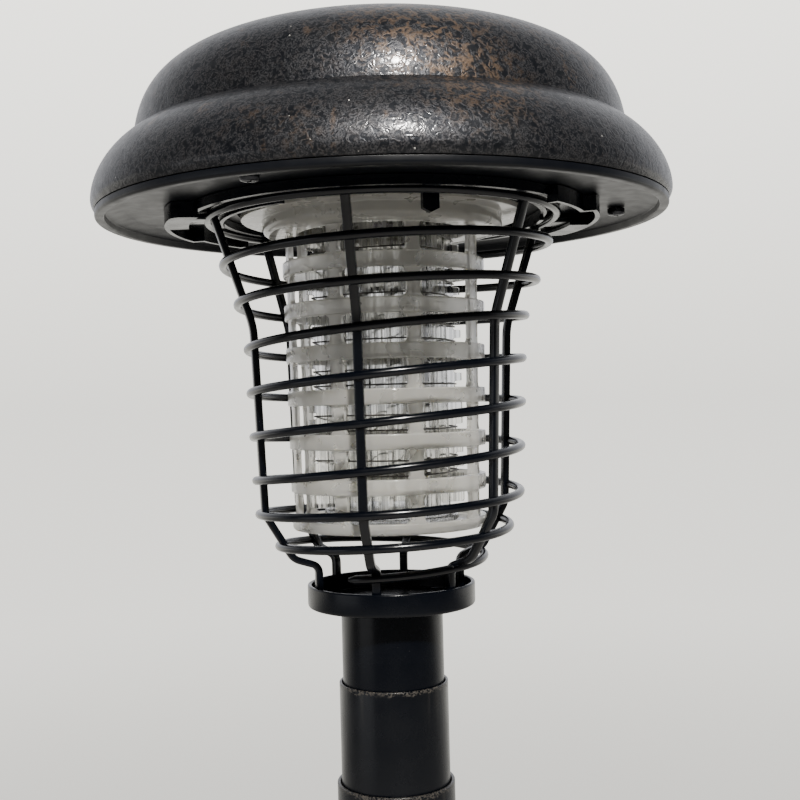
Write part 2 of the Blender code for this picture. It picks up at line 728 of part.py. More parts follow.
def make_switch(looks, head, slider):
    low = PLATE_UNDER + PLATE_THICK + GAP
    body = finish("switch_body", block((-6.6 * MM, KNOB_CENTRE - 3.5 * MM, low),
                                       (6.6 * MM, KNOB_CENTRE + 3.5 * MM, low + 4.9 * MM)),
                  looks["switch_metal"], head)
    cut(body, block((-4.9 * MM, KNOB_CENTRE - 2.5 * MM, low - MM),
                    (4.9 * MM, KNOB_CENTRE + 2.5 * MM, low + 2.6 * MM)))
    rest = -KNOB_TRAVEL / 2
    stem = block((rest - 1.7 * MM, KNOB_CENTRE - 1.7 * MM, PLATE_UNDER - 1.2 * MM),
                 (rest + 1.7 * MM, KNOB_CENTRE + 1.7 * MM, low + 1.2 * MM))
    knob = finish("switch_knob", stem, looks["black_plastic"], slider)
    unite(knob, block((rest - 2.6 * MM, KNOB_CENTRE - 2.1 * MM, low + 0.8 * MM),
                      (rest + 2.6 * MM, KNOB_CENTRE + 2.1 * MM, low + 2.0 * MM)))


def make_battery(looks, parent):
    """The cell, its cradle and its two contacts, laid across one bearing inside the hood."""
    floor = PLATE_UNDER + PLATE_THICK + GAP
    axis_height = floor + 1.5 * MM + GAP + BATTERY_RADIUS
    place = turned_to(BATTERY_BEARING)
    wall = BATTERY_LENGTH / 2 + 3 * MM
    side = BATTERY_RADIUS + 1.85 * MM
    near = -BATTERY_CIRCLE

    cradle = block((-wall - 1.5 * MM, near - side, floor),
                   (wall + 1.5 * MM, near + side, floor + 1.5 * MM))
    bmesh.ops.transform(cradle, matrix=place, verts=cradle.verts)
    holder = finish("battery_holder", cradle, looks["black_plastic"], parent)
    far_end = wall + 1.3 * MM
    outer = side - 0.2 * MM
    inner = side - 1.2 * MM
    end_half = side - 2.5 * MM
    walls = [
        block((-far_end, near - end_half, floor + MM), (-wall, near + end_half, floor + 12 * MM)),
        block((wall, near - end_half, floor + MM), (far_end, near + end_half, floor + 12 * MM)),
        block((-wall - MM, near - outer, floor + MM), (wall + MM, near - inner, floor + 6 * MM)),
        block((-wall - MM, near + inner, floor + MM), (wall + MM, near + outer, floor + 6 * MM)),
    ]
    for shape in walls:
        bmesh.ops.transform(shape, matrix=place, verts=shape.verts)
        unite(holder, shape)

    start = -wall + 1.1 * MM
    cell = revolve([(0, 0), (BATTERY_RADIUS, 0), (BATTERY_RADIUS, BATTERY_LENGTH),
                    (0, BATTERY_LENGTH)], 20)
    lay = place @ Matrix.Translation((start, near, axis_height)) @ Matrix.Rotation(math.pi / 2, 4, "Y")
    bmesh.ops.transform(cell, matrix=lay, verts=cell.verts)
    finish("battery", cell, looks["battery_wrap"], parent)

    plate = block((-wall + GAP, near - 5 * MM, axis_height - 5 * MM),
                  (-wall + 0.8 * MM, near + 5 * MM, axis_height + 4 * MM))
    bmesh.ops.transform(plate, matrix=place, verts=plate.verts)
    finish("contact_plate", plate, looks["spring_steel"], parent)

    spring_start = start + BATTERY_LENGTH + GAP + 0.4 * MM
    spring_end = wall - GAP - 0.4 * MM
    points = []
    for step in range(31):
        share = step / 30
        angle = 2 * math.pi * 2.5 * share
        radius = (3.0 + 1.6 * share) * MM
        points.append(Vector((spring_start + (spring_end - spring_start) * share,
                              near + radius * math.cos(angle),
                              axis_height + radius * math.sin(angle))))
    spring = sweep(points, circle_section(0.4 * MM, 4))
    bmesh.ops.transform(spring, matrix=place, verts=spring.verts)
    finish("contact_spring", spring, looks["spring_steel"], parent)


def make_leads(looks, parent, panel_under):
    """Two thin leads from the solar panel down to the circuit board."""
    for side, name in ((-1, "panel_lead_plus"), (1, "panel_lead_minus")):
        route = [
            Vector((side * 3 * MM, 8 * MM, panel_under - GAP)),
            Vector((side * 3 * MM, 9 * MM, BAY + 101 * MM)),
            Vector((side * 4 * MM, 20 * MM, BAY + 92 * MM)),
            Vector((side * 3 * MM, 40 * MM, BAY + 84 * MM)),
            Vector((side * 2 * MM, 58 * MM, BAY + 80 * MM)),
            Vector((side * 2 * MM, 64 * MM, BAY + 75 * MM)),
            Vector((side * 2 * MM, 65 * MM, BOARD_UNDER + BOARD_THICK + GAP)),
        ]
        finish(name, sweep(smooth(route, 3), circle_section(0.7 * MM, 5)), looks[name], parent)


def smooth(route, steps):
    """A Catmull-Rom curve through the route's points."""
    padded = [2 * route[0] - route[1], *route, 2 * route[-1] - route[-2]]
    curve = []
    for a, b, c, d in zip(padded, padded[1:], padded[2:], padded[3:]):
        for step in range(steps):
            t = step / steps
            curve.append(0.5 * (2 * b + (c - a) * t + (2 * a - 5 * b + 4 * c - d) * t ** 2
                                + (3 * b - a - 3 * c + d) * t ** 3))
    curve.append(route[-1])
    return curve


# ---------------------------------------------------------------- cage

def make_hoop(looks, parent):
    section = [(HOOP_CIRCLE + u, HOOP_HEIGHT + v) for u, v in circle_section(ROD_RADIUS, 6)]
    hoop = finish("cage_hoop", revolve(section, 36, BAR_FIRST), looks["black_wire"], parent)
    for bearing in LUG_BEARINGS:
        unite(hoop, prism(sector(HOOP_CIRCLE, 66.5 * MM, bearing, 5, 2),
                          HOOP_HEIGHT - 0.9 * MM, HOOP_HEIGHT + 0.9 * MM))


def bar_path():
    """Centre line of a cage bar as (radius, height) points, from the hoop to the dish."""
    return [(point.x * MM, BAY + point.y * MM) for point in filleted(BAR_CORNERS)]


def make_bars(looks, parent):
    half_width = BAR_WIDTH / 2
    half_thick = BAR_THICK / 2
    section = [(-half_width, -half_thick), (half_width, -half_thick),
               (half_width, half_thick), (-half_width, half_thick)]
    for number in range(BAR_COUNT):
        bearing = BAR_FIRST + 360 * number / BAR_COUNT
        points = [at_bearing(radius, bearing, height) for radius, height in bar_path()]
        bar = sweep(points, section, at_bearing(1, bearing + 90, 0))
        finish(f"cage_bar_{number + 1}", bar, looks["black_wire"], parent)


def spiral_drop(turn):
    """How far the spiral has come down after a number of turns."""
    shoulder, body, foot = SPIRAL_PITCHES
    stages = ((2.2, shoulder), (4.0, body), (SPIRAL_TURNS, foot))
    drop = 0
    for length, pitch in stages:
        part = min(turn, length)
        drop += part * pitch
        turn -= part
    return drop * MM


def spiral_radius(height):
    """Radius at which the spiral's wire clears the outer face of the bars."""
    reach = BAR_THICK / 2 + ROD_RADIUS + GAP
    path = [Vector(point) for point in bar_path()]
    offset = []
    for index, point in enumerate(path):
        along = (path[min(index + 1, len(path) - 1)] - path[max(index - 1, 0)]).normalized()
        offset.append(point + Vector((-along.y, along.x)) * reach)
    for above, below in zip(offset, offset[1:]):
        if below.y <= height <= above.y:
            share = (above.y - height) / (above.y - below.y)
            return above.x + (below.x - above.x) * share
    return offset[0].x


def spiral_point(turn):
    bearing = SPIRAL_END - 360 * turn
    fade = min(max((turn - 1.5) / 1.0, 0), max((6.7 - turn) / 1.0, 0), 1)
    height = BAY + SPIRAL_TOP * MM - spiral_drop(turn)
    height += SPIRAL_SWAY * fade * math.sin(math.radians(bearing))
    return at_bearing(spiral_radius(height), bearing, height)


def make_spiral(looks, parent):
    """The spiral in one-turn lengths, which meet end to end behind the rear bar."""
    clear = 0.0015         # gap between two lengths, in turns
    start = 0
    number = 1
    while start < SPIRAL_TURNS:
        end = min(start + 1, SPIRAL_TURNS)
        steps = max(2, round(SPIRAL_STEPS * (end - start)))
        turns = [start + clear + (end - start - 2 * clear) * step / steps
                 for step in range(steps + 1)]
        length = sweep([spiral_point(turn) for turn in turns], circle_section(ROD_RADIUS, 6))
        finish(f"cage_spiral_{number}", length, looks["black_wire"], parent)
        start = end
        number += 1


def make_dish(looks, parent):
    floor = DISH_BOTTOM + 1.5 * MM
    wall = 1.3 * MM
    profile = [
        (0, DISH_BOTTOM),
        (DISH_RADIUS - 0.8 * MM, DISH_BOTTOM),
        (DISH_RADIUS, DISH_BOTTOM + 0.8 * MM),
        (DISH_RADIUS, DISH_TOP),
        (DISH_RADIUS - wall, DISH_TOP),
        (DISH_RADIUS - wall, floor),
        (0, floor),
    ]
    finish("dish_cup", revolve(profile, 32), looks["black_plastic"], parent)


# ---------------------------------------------------------------- stake

def tube(name, outer, wall, low, high, skin, parent):
    inner = outer - wall
    profile = [(inner, low), (outer, low), (outer, high), (inner, high)]
    return finish(name, revolve(profile, 32), skin, parent)


def make_spike(looks, parent):
    spigot = LOWER_TUBE_RADIUS - 1.1 * MM - GAP
    body = [
        (0, 0),
        (SPIKE_FLANGE_RADIUS, 0),
        (SPIKE_FLANGE_RADIUS, SPIKE_FLANGE_THICK),
        (spigot, SPIKE_FLANGE_THICK),
        (spigot, SPIGOT_TOP - MM),
        (spigot - MM, SPIGOT_TOP),
        (spigot - 3 * MM, SPIGOT_TOP),
        (spigot - 3 * MM, SPIKE_FLANGE_THICK + 2 * MM),
        (0, SPIKE_FLANGE_THICK + 2 * MM),
    ]
    spike = finish("ground_spike", revolve(body, 24), looks["black_plastic"], parent)
    blades = bmesh.new()
    rings = []
    for reach, half, height in ((17 * MM, 1.6 * MM, 1.5 * MM), (12 * MM, 1.5 * MM, -90 * MM),
                                (1.6 * MM, 0.6 * MM, -SPIKE_DEPTH)):
        ring = []
        for quarter in range(4):
            turn = Matrix.Rotation(math.pi / 2 * quarter + math.pi / 4, 3, "Z")
            for corner in ((half, -half), (reach, -half), (reach, half)):
                flat = turn @ Vector((*corner, 0))
                ring.append(blades.verts.new((flat.x, flat.y, height)))
        rings.append(ring)
    for upper, lower in zip(rings, rings[1:]):
        for index in range(len(upper)):
            after = (index + 1) % len(upper)
            blades.faces.new((upper[index], upper[after], lower[after], lower[index]))
    blades.faces.new(rings[0])
    blades.faces.new(rings[-1])
    unite(spike, blades)


# ---------------------------------------------------------------- assembly

def make_materials():
    values = {
        "hood_finish": ((0.055, 0.048, 0.045), 0.45, 0.35, 1.0),
        "black_plastic": ((0.018, 0.019, 0.021), 0.42, 0.0, 1.0),
        "black_wire": ((0.014, 0.015, 0.018), 0.35, 0.0, 1.0),
        "pole_paint": ((0.020, 0.019, 0.019), 0.48, 0.2, 1.0),
        "milky_plastic": ((0.78, 0.77, 0.73), 0.40, 0.0, 0.75),
        "clear_plastic": ((0.90, 0.91, 0.90), 0.08, 0.0, 0.35),
        "clear_cover": ((0.85, 0.88, 0.92), 0.06, 0.0, 0.30),
        "led_lens": ((0.80, 0.78, 0.90), 0.10, 0.0, 0.60),
        "wire_steel": ((0.35, 0.34, 0.32), 0.35, 1.0, 1.0),
        "spring_steel": ((0.60, 0.60, 0.58), 0.30, 1.0, 1.0),
        "screw_steel": ((0.06, 0.06, 0.065), 0.40, 0.8, 1.0),
        "switch_metal": ((0.55, 0.56, 0.57), 0.35, 0.9, 1.0),
        "solar_cell": ((0.02, 0.03, 0.09), 0.25, 0.1, 1.0),
        "foam": ((0.03, 0.03, 0.03), 0.95, 0.0, 1.0),
        "white_board": ((0.80, 0.80, 0.78), 0.50, 0.0, 1.0),
        "green_board": ((0.03, 0.16, 0.06), 0.45, 0.0, 1.0),
        "transformer_tape": ((0.75, 0.60, 0.10), 0.50, 0.0, 1.0),
        "capacitor_sleeve": ((0.03, 0.04, 0.12), 0.35, 0.0, 1.0),
        "film_red": ((0.35, 0.06, 0.03), 0.40, 0.0, 1.0),
        "battery_wrap": ((0.05, 0.16, 0.36), 0.35, 0.0, 1.0),
        "panel_lead_plus": ((0.45, 0.02, 0.02), 0.50, 0.0, 1.0),
        "panel_lead_minus": ((0.02, 0.02, 0.02), 0.50, 0.0, 1.0),
    }
    return {name: material(name, *look) for name, look in values.items()}


def main():
    clear_scene()
    looks = make_materials()
    stake = joint_empty("stake_origin", (0, 0, 0))
    extension = joint_empty("extension_slide", (0, 0, LOWER_TUBE_TOP), stake)
    cage = joint_empty("cage_swivel", (0, 0, UPPER_TUBE_TOP), extension)
    head = joint_empty("head_twist", (0, 0, HOOP_HEIGHT), cage)
    slider = joint_empty("switch_slide", (-KNOB_TRAVEL / 2, KNOB_CENTRE, PLATE_UNDER), head)

    make_spike(looks, stake)
    tube("lower_tube", LOWER_TUBE_RADIUS, 1.1 * MM, SPIKE_FLANGE_THICK + GAP, LOWER_TUBE_TOP,
         looks["pole_paint"], stake)

    tube("upper_tube", UPPER_TUBE_RADIUS, 0.85 * MM, SPIGOT_TOP + GAP, UPPER_TUBE_TOP,
         looks["pole_paint"], extension)
    tube("neck_stop_ring", NECK_RADIUS, 3 * MM, NECK_BOTTOM - GAP - 5 * MM, NECK_BOTTOM - GAP,
         looks["black_plastic"], extension)

    tube("neck_tube", NECK_RADIUS, 1.2 * MM, NECK_BOTTOM, DISH_BOTTOM - GAP,
         looks["black_plastic"], cage)
    make_dish(looks, cage)
    make_bars(looks, cage)
    make_spiral(looks, cage)
    make_hoop(looks, cage)

    make_collar(looks, head)
    make_base_plate(looks, head)
    make_screws(looks, head)
    make_hood(looks["hood_finish"], head)
    panel_under = make_panel(looks, head)
    make_lamp_cup(looks, head)
    make_diffuser(looks, head)
    make_guard(looks, head)
    make_core(looks, head)
    make_live_wires(looks, head)
    make_lamp_fittings(looks, head)
    make_board(looks, head)
    make_switch(looks, head, slider)
    make_battery(looks, head)
    make_leads(looks, head, panel_under)


main()
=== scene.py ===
"""Looks of the solar garden light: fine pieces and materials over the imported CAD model.

Units are metres and +Z is up. The lamp's axis is the Z axis and z = 0 is the ground line.
A bearing is an angle round that axis: 0 faces -Y (the front) and 90 degrees faces +X.
"""

import math
from functools import reduce

import bmesh
import bpy
from mathutils import Matrix, Vector


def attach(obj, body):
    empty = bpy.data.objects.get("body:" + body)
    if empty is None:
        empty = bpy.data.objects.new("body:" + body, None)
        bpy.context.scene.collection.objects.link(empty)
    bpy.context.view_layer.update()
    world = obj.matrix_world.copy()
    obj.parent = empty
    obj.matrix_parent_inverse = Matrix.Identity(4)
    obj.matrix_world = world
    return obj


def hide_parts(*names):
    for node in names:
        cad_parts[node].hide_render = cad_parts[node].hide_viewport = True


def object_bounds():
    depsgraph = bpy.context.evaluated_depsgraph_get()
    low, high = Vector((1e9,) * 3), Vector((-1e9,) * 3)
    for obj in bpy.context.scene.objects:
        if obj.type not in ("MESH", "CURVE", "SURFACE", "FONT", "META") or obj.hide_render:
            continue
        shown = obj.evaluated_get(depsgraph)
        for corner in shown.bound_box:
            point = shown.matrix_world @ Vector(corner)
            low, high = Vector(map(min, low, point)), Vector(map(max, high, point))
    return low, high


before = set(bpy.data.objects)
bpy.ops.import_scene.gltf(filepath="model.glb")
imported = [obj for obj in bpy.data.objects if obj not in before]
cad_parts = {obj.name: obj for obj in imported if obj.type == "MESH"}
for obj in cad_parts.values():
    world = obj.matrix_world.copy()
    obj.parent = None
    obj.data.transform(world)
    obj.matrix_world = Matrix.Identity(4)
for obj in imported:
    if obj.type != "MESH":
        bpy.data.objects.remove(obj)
cad_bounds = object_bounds()

MM = 0.001
BAY = 295 * MM              # height of the middle of the caged bay
TURN = 360

# Hood
HOOD_RADIUS = 90.1 * MM
HOOD_EDGE = BAY + 60.2 * MM
HOOD_WIDEST = BAY + 63.0 * MM
GROOVE = BAY + 82.68 * MM
TIER_CENTRE = 66.6 * MM
TIER_RISE = 22.66 * MM
TIER_SQUARENESS = 1.80
DOME_RADIUS = 77.39 * MM
DOME_CENTRE = BAY + 66.12 * MM
DOME_RISE = 46.27 * MM
DOME_SQUARENESS = 3.64
HOOD_WALL = 2.5 * MM
WELL_HALF = 28.5 * MM
WELL_CORNER = 5.0 * MM
WELL_FLOOR = BAY + 107.0 * MM
WELL_WALL = 2.2 * MM

# Underside
PLATE_UNDER = BAY + 61.0 * MM
PLATE_TOP = BAY + 63.0 * MM
LIP_RADIUS = 89.0 * MM
LIP_BOTTOM = BAY + 57.6 * MM
PLATE_HOLE = 46.0 * MM
SCREW_CIRCLE = 75.5 * MM
SCREW_BEARINGS = (-27, 93, 213)
KNOB_CENTRE = 69.0 * MM
KNOB_REST = -2.0 * MM
COLLAR_INNER = 50.2 * MM
COLLAR_OUTER = 62.0 * MM
COLLAR_BOTTOM = BAY + 58.0 * MM
COLLAR_TOP = BAY + 60.7 * MM
COLLAR_CEILING = BAY + 59.9 * MM
LEAD_IN_OUTER = 64.4 * MM
LOBE_OUTER = 68.2 * MM
LOBE_BOTTOM = BAY + 56.0 * MM
LOBE_WALL = 1.4 * MM
LOBE_STARTS = (51, 231)
LEAD_IN_TURN = 19
LEDGE_TURN = 44
LOBE_TURN = 66
SKIRT_BOTTOM = BAY + 57.0 * MM
SKIRT_STARTS = (-90, 90)
SKIRT_TURN = 57
LUG_BEARINGS = (102, 282)
LUG_TIP = 66.4 * MM
TAB_BEARING = 16

# Lamp
FLANGE_RADIUS = 44.7 * MM
FLANGE_BOTTOM = BAY + 58.2 * MM
DIFFUSER_BOTTOM = BAY + 53.6 * MM
DIFFUSER_HOLE = 27.0 * MM
SKIRT_RADIUS = 38.0 * MM
GUARD_TOP_RADIUS = 31.9 * MM
GUARD_TAPER = 1.1 / 75
GUARD_RINGS = 6
RING_TOP_LEDGE = BAY + 40.0 * MM
RING_PITCH = 13.45 * MM
RING_HEIGHT = 4.7 * MM
RING_THICK = 2.3 * MM
GUARD_FLOOR = BAY - 39.0 * MM
TRAY_RIM = GUARD_FLOOR + 3.4 * MM
RIB_COUNT = 8
RIB_FIRST = 16.5
RIB_HALF = 2.1 * MM
CORE_RADIUS = 19.6 * MM
CORE_BORE = 16.0 * MM
CORE_FLUTES = 18
CORE_BOTTOM = BAY - 32.6 * MM
CORE_TOP = BAY + 57.6 * MM
CAP_RADIUS = 22.0 * MM
LED_CIRCLE = 10.0 * MM
FIN_RADIUS = 25.3 * MM
FIN_FIRST = -73.5
WIRE_LOWEST = BAY - 26.7 * MM
WIRE_PITCH = 9.24 * MM
WIRE_TURNS = 8.5
WIRE_CIRCLE = 23.6 * MM         # where a live wire lies in a fin's notch
WIRE_NEAREST = 20.0 * MM        # where it runs past the core
WIRE_RADIUS = 0.26 * MM

# Cage
HOOP_CIRCLE = 55.05 * MM
HOOP_HEIGHT = BAY + 58.2 * MM
ROD_RADIUS = 1.35 * MM
BAR_COUNT = 6
BAR_FIRST = -10.6
BAR_WIDTH = 2.7 * MM
BAR_THICK = 2.2 * MM
BAR_CORNERS = (              # radius, height above BAY, bend radius, all in millimetres
    (54.3, 58.0, 0),
    (53.3, 55.4, 6),
    (42.7, 24.5, 25),
    (40.4, -33.5, 7),
    (31.8, -47.6, 5),
    (23.8, -50.2, 3),
    (23.8, -62.3, 0),
)
SPIRAL_START = 169.4
SPIRAL_TURNS = 8 + 10 / 18
SPIRAL_STRETCHES = (         # turns, and millimetres from turn to turn
    (2.2, 12.0),
    (4.0, 13.7),
    (SPIRAL_TURNS, 10.2),
)
SPIRAL_TOP = BAY + 52.4 * MM
SPIRAL_SWAY = 1.4 * MM
SPIRAL_SWAYING = (1.5, 6.7)  # turns between which it sways
DISH_RADIUS = 26.6 * MM
DISH_TOP = BAY - 56.8 * MM
DISH_BOTTOM = BAY - 63.9 * MM

# Stake
NECK_RADIUS = 16.15 * MM
NECK_BOTTOM = BAY - 123.0 * MM
UPPER_TUBE_RADIUS = 17.3 * MM
UPPER_TUBE_TOP = BAY - 88.1 * MM
UPPER_TUBE_BOTTOM = 45.3 * MM
LOWER_TUBE_RADIUS = 18.7 * MM
LOWER_TUBE_TOP = BAY - 119.7 * MM
LOWER_TUBE_BOTTOM = 3.3 * MM
SPIGOT_RADIUS = 17.3 * MM
SPIGOT_TOP = 45.0 * MM
FLANGE_OUT = 27.0 * MM
FLANGE_THICK = 3.0 * MM
SPIKE_DEPTH = 150.0 * MM

# Stage
FLOOR_COLOUR = (0.44, 0.43, 0.41)
BACKDROP = (1.60, 1.57, 1.46)

# Camera, as fitted to the photo
CAMERA_DISTANCE = 366.5 * MM
CAMERA_LENS = 51.75
CAMERA_ROLL = 0.0255
SHIFT_X = 0.0166
SHIFT_Y = 0.00375

FINE = 192                   # steps round a large turned piece


# ---------------------------------------------------------------- materials

class NodeRecipe:
    """The nodes of a material or a world in the making."""

    def __init__(self, owner, place):
        owner.use_nodes = True
        self.nodes = owner.node_tree.nodes
        self.links = owner.node_tree.links
        self.place = self.add("TexCoord", place, {})

    def feed(self, socket, value):
        """Links an output to a socket, or sets a plain number or colour on it."""
        if isinstance(value, bpy.types.NodeSocket):
            self.links.new(value, socket)
        elif isinstance(value, tuple) and socket.type == "RGBA" and len(value) == 3:
            socket.default_value = (*value, 1.0)
        else:
            socket.default_value = value

    def add(self, kind, output, inputs, **settings):
        """Adds a node with its settings and inputs, and returns one of its outputs."""
        node = self.nodes.new("ShaderNode" + kind)
        for name, value in settings.items():
            setattr(node, name, value)
        for name, value in inputs.items():
            self.feed(node.inputs[name], value)
        return node.outputs[output]

    def stretched(self, x, y, z):
        return self.add("Mapping", "Vector", {"Vector": self.place, "Scale": (x, y, z)})

    def noise(self, scale, detail=2.0, distortion=0.0, where=None):
        return self.add("TexNoise", "Fac", {"Vector": where or self.place, "Scale": scale,
                                            "Detail": detail, "Distortion": distortion})

    def cells(self, scale):
        return self.add("TexVoronoi", "Distance", {"Vector": self.place, "Scale": scale})

    def axis(self, name):
        return self.add("SeparateXYZ", name, {"Vector": self.place})

    def maths(self, operation, first, second=0.0):
        return self.add("Math", "Value", {0: first, 1: second}, operation=operation)

    def both(self, *shares):
        """The product of all the shares that are given."""
        return reduce(lambda first, second: self.maths("MULTIPLY", first, second), shares)

    def span(self, value, low, high, bottom=0.0, top=1.0, curve="SMOOTHSTEP"):
        """Rises from bottom to top as the value goes from low to high."""
        return self.add("MapRange", "Result", {"Value": value, "From Min": low, "From Max": high,
                                               "To Min": bottom, "To Max": top},
                        interpolation_type=curve)

    def near(self, point, full, none):
        """1 within the first distance of a point in object space, and 0 beyond the second."""
        away = self.add("VectorMath", "Value", {0: self.place, 1: point}, operation="DISTANCE")
        return self.span(away, full, none, 1.0, 0.0)

    def ridge(self, value, sharpness):
        """One where a noise passes its middle, falling to zero on either side."""
        away = self.maths("ABSOLUTE", self.maths("SUBTRACT", value, 0.5))
        return self.span(away, 0.0, 1 / sharpness, 1.0, 0.0)

    def mix(self, share, first, second):
        """A blend of two colours, which are a mix node's inputs 6 and 7 and its output 2."""
        return self.add("Mix", 2, {0: share, 6: first, 7: second}, data_type="RGBA")

    def finish(self, output, share, first, second):
        """Sends a blend of two shaders to the output node."""
        surface = self.add("MixShader", "Shader", {0: share, 1: first, 2: second})
        self.feed(self.nodes[output].inputs["Surface"], surface)


class Recipe(NodeRecipe):
    """A material in the making. Textures are placed in the piece's own metres."""

    def __init__(self, name, settings):
        self.material = bpy.data.materials.new(name)
        super().__init__(self.material, "Object")
        self.shader = self.nodes["Principled BSDF"]
        for socket, value in settings.items():
            self.shader.inputs[socket].default_value = value

    def colour(self, value):
        self.feed(self.shader.inputs["Base Color"], value)

    def roughness(self, value):
        self.feed(self.shader.inputs["Roughness"], value)

    def uneven(self, scale, detail, low, high):
        """A roughness that wanders between two values."""
        self.roughness(self.span(self.noise(scale, detail), 0.3, 0.7, low, high))

    def bump(self, height, depth, strength=1.0, coat=False):
        inputs = {"Strength": strength, "Distance": depth, "Height": height}
        normal = self.shader.inputs["Normal"]
        if normal.is_linked:
            inputs["Normal"] = normal.links[0].from_socket
        bumped = self.add("Bump", "Normal", inputs)
        self.feed(normal, bumped)
        if coat:
            self.feed(self.shader.inputs["Coat Normal"], bumped)


def toned(colour, share):
    return tuple(channel * share for channel in colour)


def hammered_paint():
    """Charcoal metallic paint with worm-like ridges, grey speckle, copper flecks and a painted
    copper sheen on the front.
    """
    look = Recipe("hammered_paint", {"Metallic": 0.65, "Specular IOR Level": 0.35,
                                     "Coat Weight": 0.30, "Coat Roughness": 0.13})
    worms = look.ridge(look.noise(500, 1.0, 0.8), 5)
    grain = look.noise(2300, 2)
    speckle = look.both(worms, look.span(grain, 0.34, 0.64))
    clouds = look.span(look.noise(30, 3, 0.4), 0.52, 0.80)
    drips = look.span(look.noise(120, 2, where=look.stretched(1, 1, 0.14)), 0.61, 0.72)
    flecks = look.span(look.noise(420, 2, 0.6), 0.42, 0.62)
    # Painted highlight: two copper spots on the hood's front, where the key light's highlights fall,
    # stand in for the warm sheen of those highlights.
    sheen_spots = look.maths("MAXIMUM", look.near((0.010, -0.062, BAY + 0.099), 0.006, 0.032),
                      look.near((0.024, -0.074, BAY + 0.080), 0.004, 0.024))
    worn = look.maths("MAXIMUM", look.both(clouds, 0.4), look.both(drips, 0.4))
    # Copper shows in the random patches and drips, in the painted sheen spots, and faintly
    # everywhere.
    lit = look.maths("MAXIMUM", worn, look.maths("MAXIMUM", look.both(sheen_spots, 0.65), 0.03))
    copper = look.both(flecks, worms, lit)
    base = look.mix(look.span(look.noise(70, 4), 0.4, 0.7), (0.0070, 0.0085, 0.0120),
                    (0.0115, 0.0125, 0.0150))
    base = look.mix(speckle, base, (0.060, 0.060, 0.064))
    base = look.mix(copper, base, (0.170, 0.108, 0.064))
    glints = look.span(look.cells(190), 0.035, 0.060, 1.0, 0.0)
    base = look.mix(look.both(glints, look.span(grain, 0.53, 0.56)), base, (0.80, 0.78, 0.72))
    look.colour(base)
    look.uneven(300, 2, 0.42, 0.50)
    look.bump(look.noise(60, 2), 0.0004, 0.20)
    look.bump(worms, 0.000035, coat=True)
    return look.material


def black_plastic(name, roughness, dust, gloss):
    """Moulded black plastic with a little dust and a fine, even grain."""
    look = Recipe(name, {"Specular IOR Level": gloss})
    specks = look.span(look.cells(420), 0.04, 0.09, 1.0, 0.0)
    haze = look.span(look.noise(70, 4, 0.3), 0.45, 0.75)
    base = look.mix(look.both(haze, dust), (0.0012, 0.0020, 0.0042), (0.0044, 0.0054, 0.0078))
    base = look.mix(look.both(specks, haze, dust), base, (0.07, 0.068, 0.064))
    look.colour(base)
    look.uneven(160, 3, roughness - 0.03, roughness + 0.05)
    look.bump(look.noise(1600, 2), 0.000012)
    return look.material


def scuffed_tube(name, rim):
    """Satin black tube paint, with a thin dusty line and a few faint drips below the rim."""
    look = Recipe(name, {"Specular IOR Level": 0.45})
    drop = look.maths("SUBTRACT", rim, look.axis("Z"))
    front = look.span(look.axis("Y"), -17 * MM, 6 * MM, 1.0, 0.25)
    ragged = look.span(look.noise(240, 3, 0.5), 0.35, 0.65, 0.6 * MM, 1.6 * MM)
    line = look.span(look.maths("SUBTRACT", drop, ragged), -0.5 * MM, 0.5 * MM, 1.0, 0.0)
    grit = look.span(look.noise(1500, 3), 0.42, 0.60)
    dust = look.both(line, grit, front)
    streaks = look.span(look.noise(230, 3, where=look.stretched(1, 1, 0.05)), 0.56, 0.72)
    drips = look.both(streaks, look.span(drop, 1 * MM, 14 * MM, 0.6, 0.0))
    haze = look.span(look.noise(45, 4, where=look.stretched(1, 1, 0.3)), 0.42, 0.75)
    base = look.mix(haze, (0.0016, 0.0024, 0.0044), (0.0056, 0.0062, 0.0076))
    base = look.mix(look.both(drips, 0.6), base, (0.040, 0.038, 0.034))
    base = look.mix(look.both(dust, 0.7), base, (0.088, 0.078, 0.066))
    specks = look.span(look.cells(300), 0.04, 0.08, 1.0, 0.0)
    base = look.mix(look.both(specks, look.span(haze, 0.5, 0.9)), base, (0.060, 0.057, 0.052))
    look.colour(base)
    look.roughness(look.maths("ADD", look.span(look.noise(110, 3), 0.3, 0.7, 0.22, 0.30),
                            look.both(dust, 0.3)))
    look.bump(look.noise(900, 3, where=look.stretched(1, 1, 0.2)), 0.00003)
    return look.material


def milky_plastic(name, haze, colour=(0.92, 0.905, 0.85)):
    """Translucent white plastic: haze is the share of light that passes straight through."""
    look = Recipe(name, {"Subsurface Weight": 0.20, "Subsurface Scale": 0.003,
                         "Transmission Weight": haze, "IOR": 1.22, "Coat Weight": 0.6,
                         "Coat Roughness": 0.08})
    look.shader.inputs["Subsurface Radius"].default_value = (1.0, 0.95, 0.8)
    clouds = look.noise(40, 2, 0.2)
    look.colour(look.mix(look.span(clouds, 0.3, 0.7), toned(colour, 0.93), colour))
    look.uneven(180, 2, 0.26, 0.34)
    look.bump(look.noise(120, 2), 0.00003)
    return look.material


def clear_plastic(name, tint, smooth):
    """Clear moulded plastic with faint ripples."""
    look = Recipe(name, {"Transmission Weight": 1.0, "IOR": 1.49})
    look.colour(look.mix(look.span(look.noise(80, 3), 0.35, 0.65), tint, toned(tint, 0.93)))
    look.roughness(look.span(look.noise(260, 3), 0.35, 0.7, smooth, smooth + 0.10))
    look.bump(look.noise(160, 2, where=look.stretched(1, 1, 0.15)), 0.00012)
    return look.material


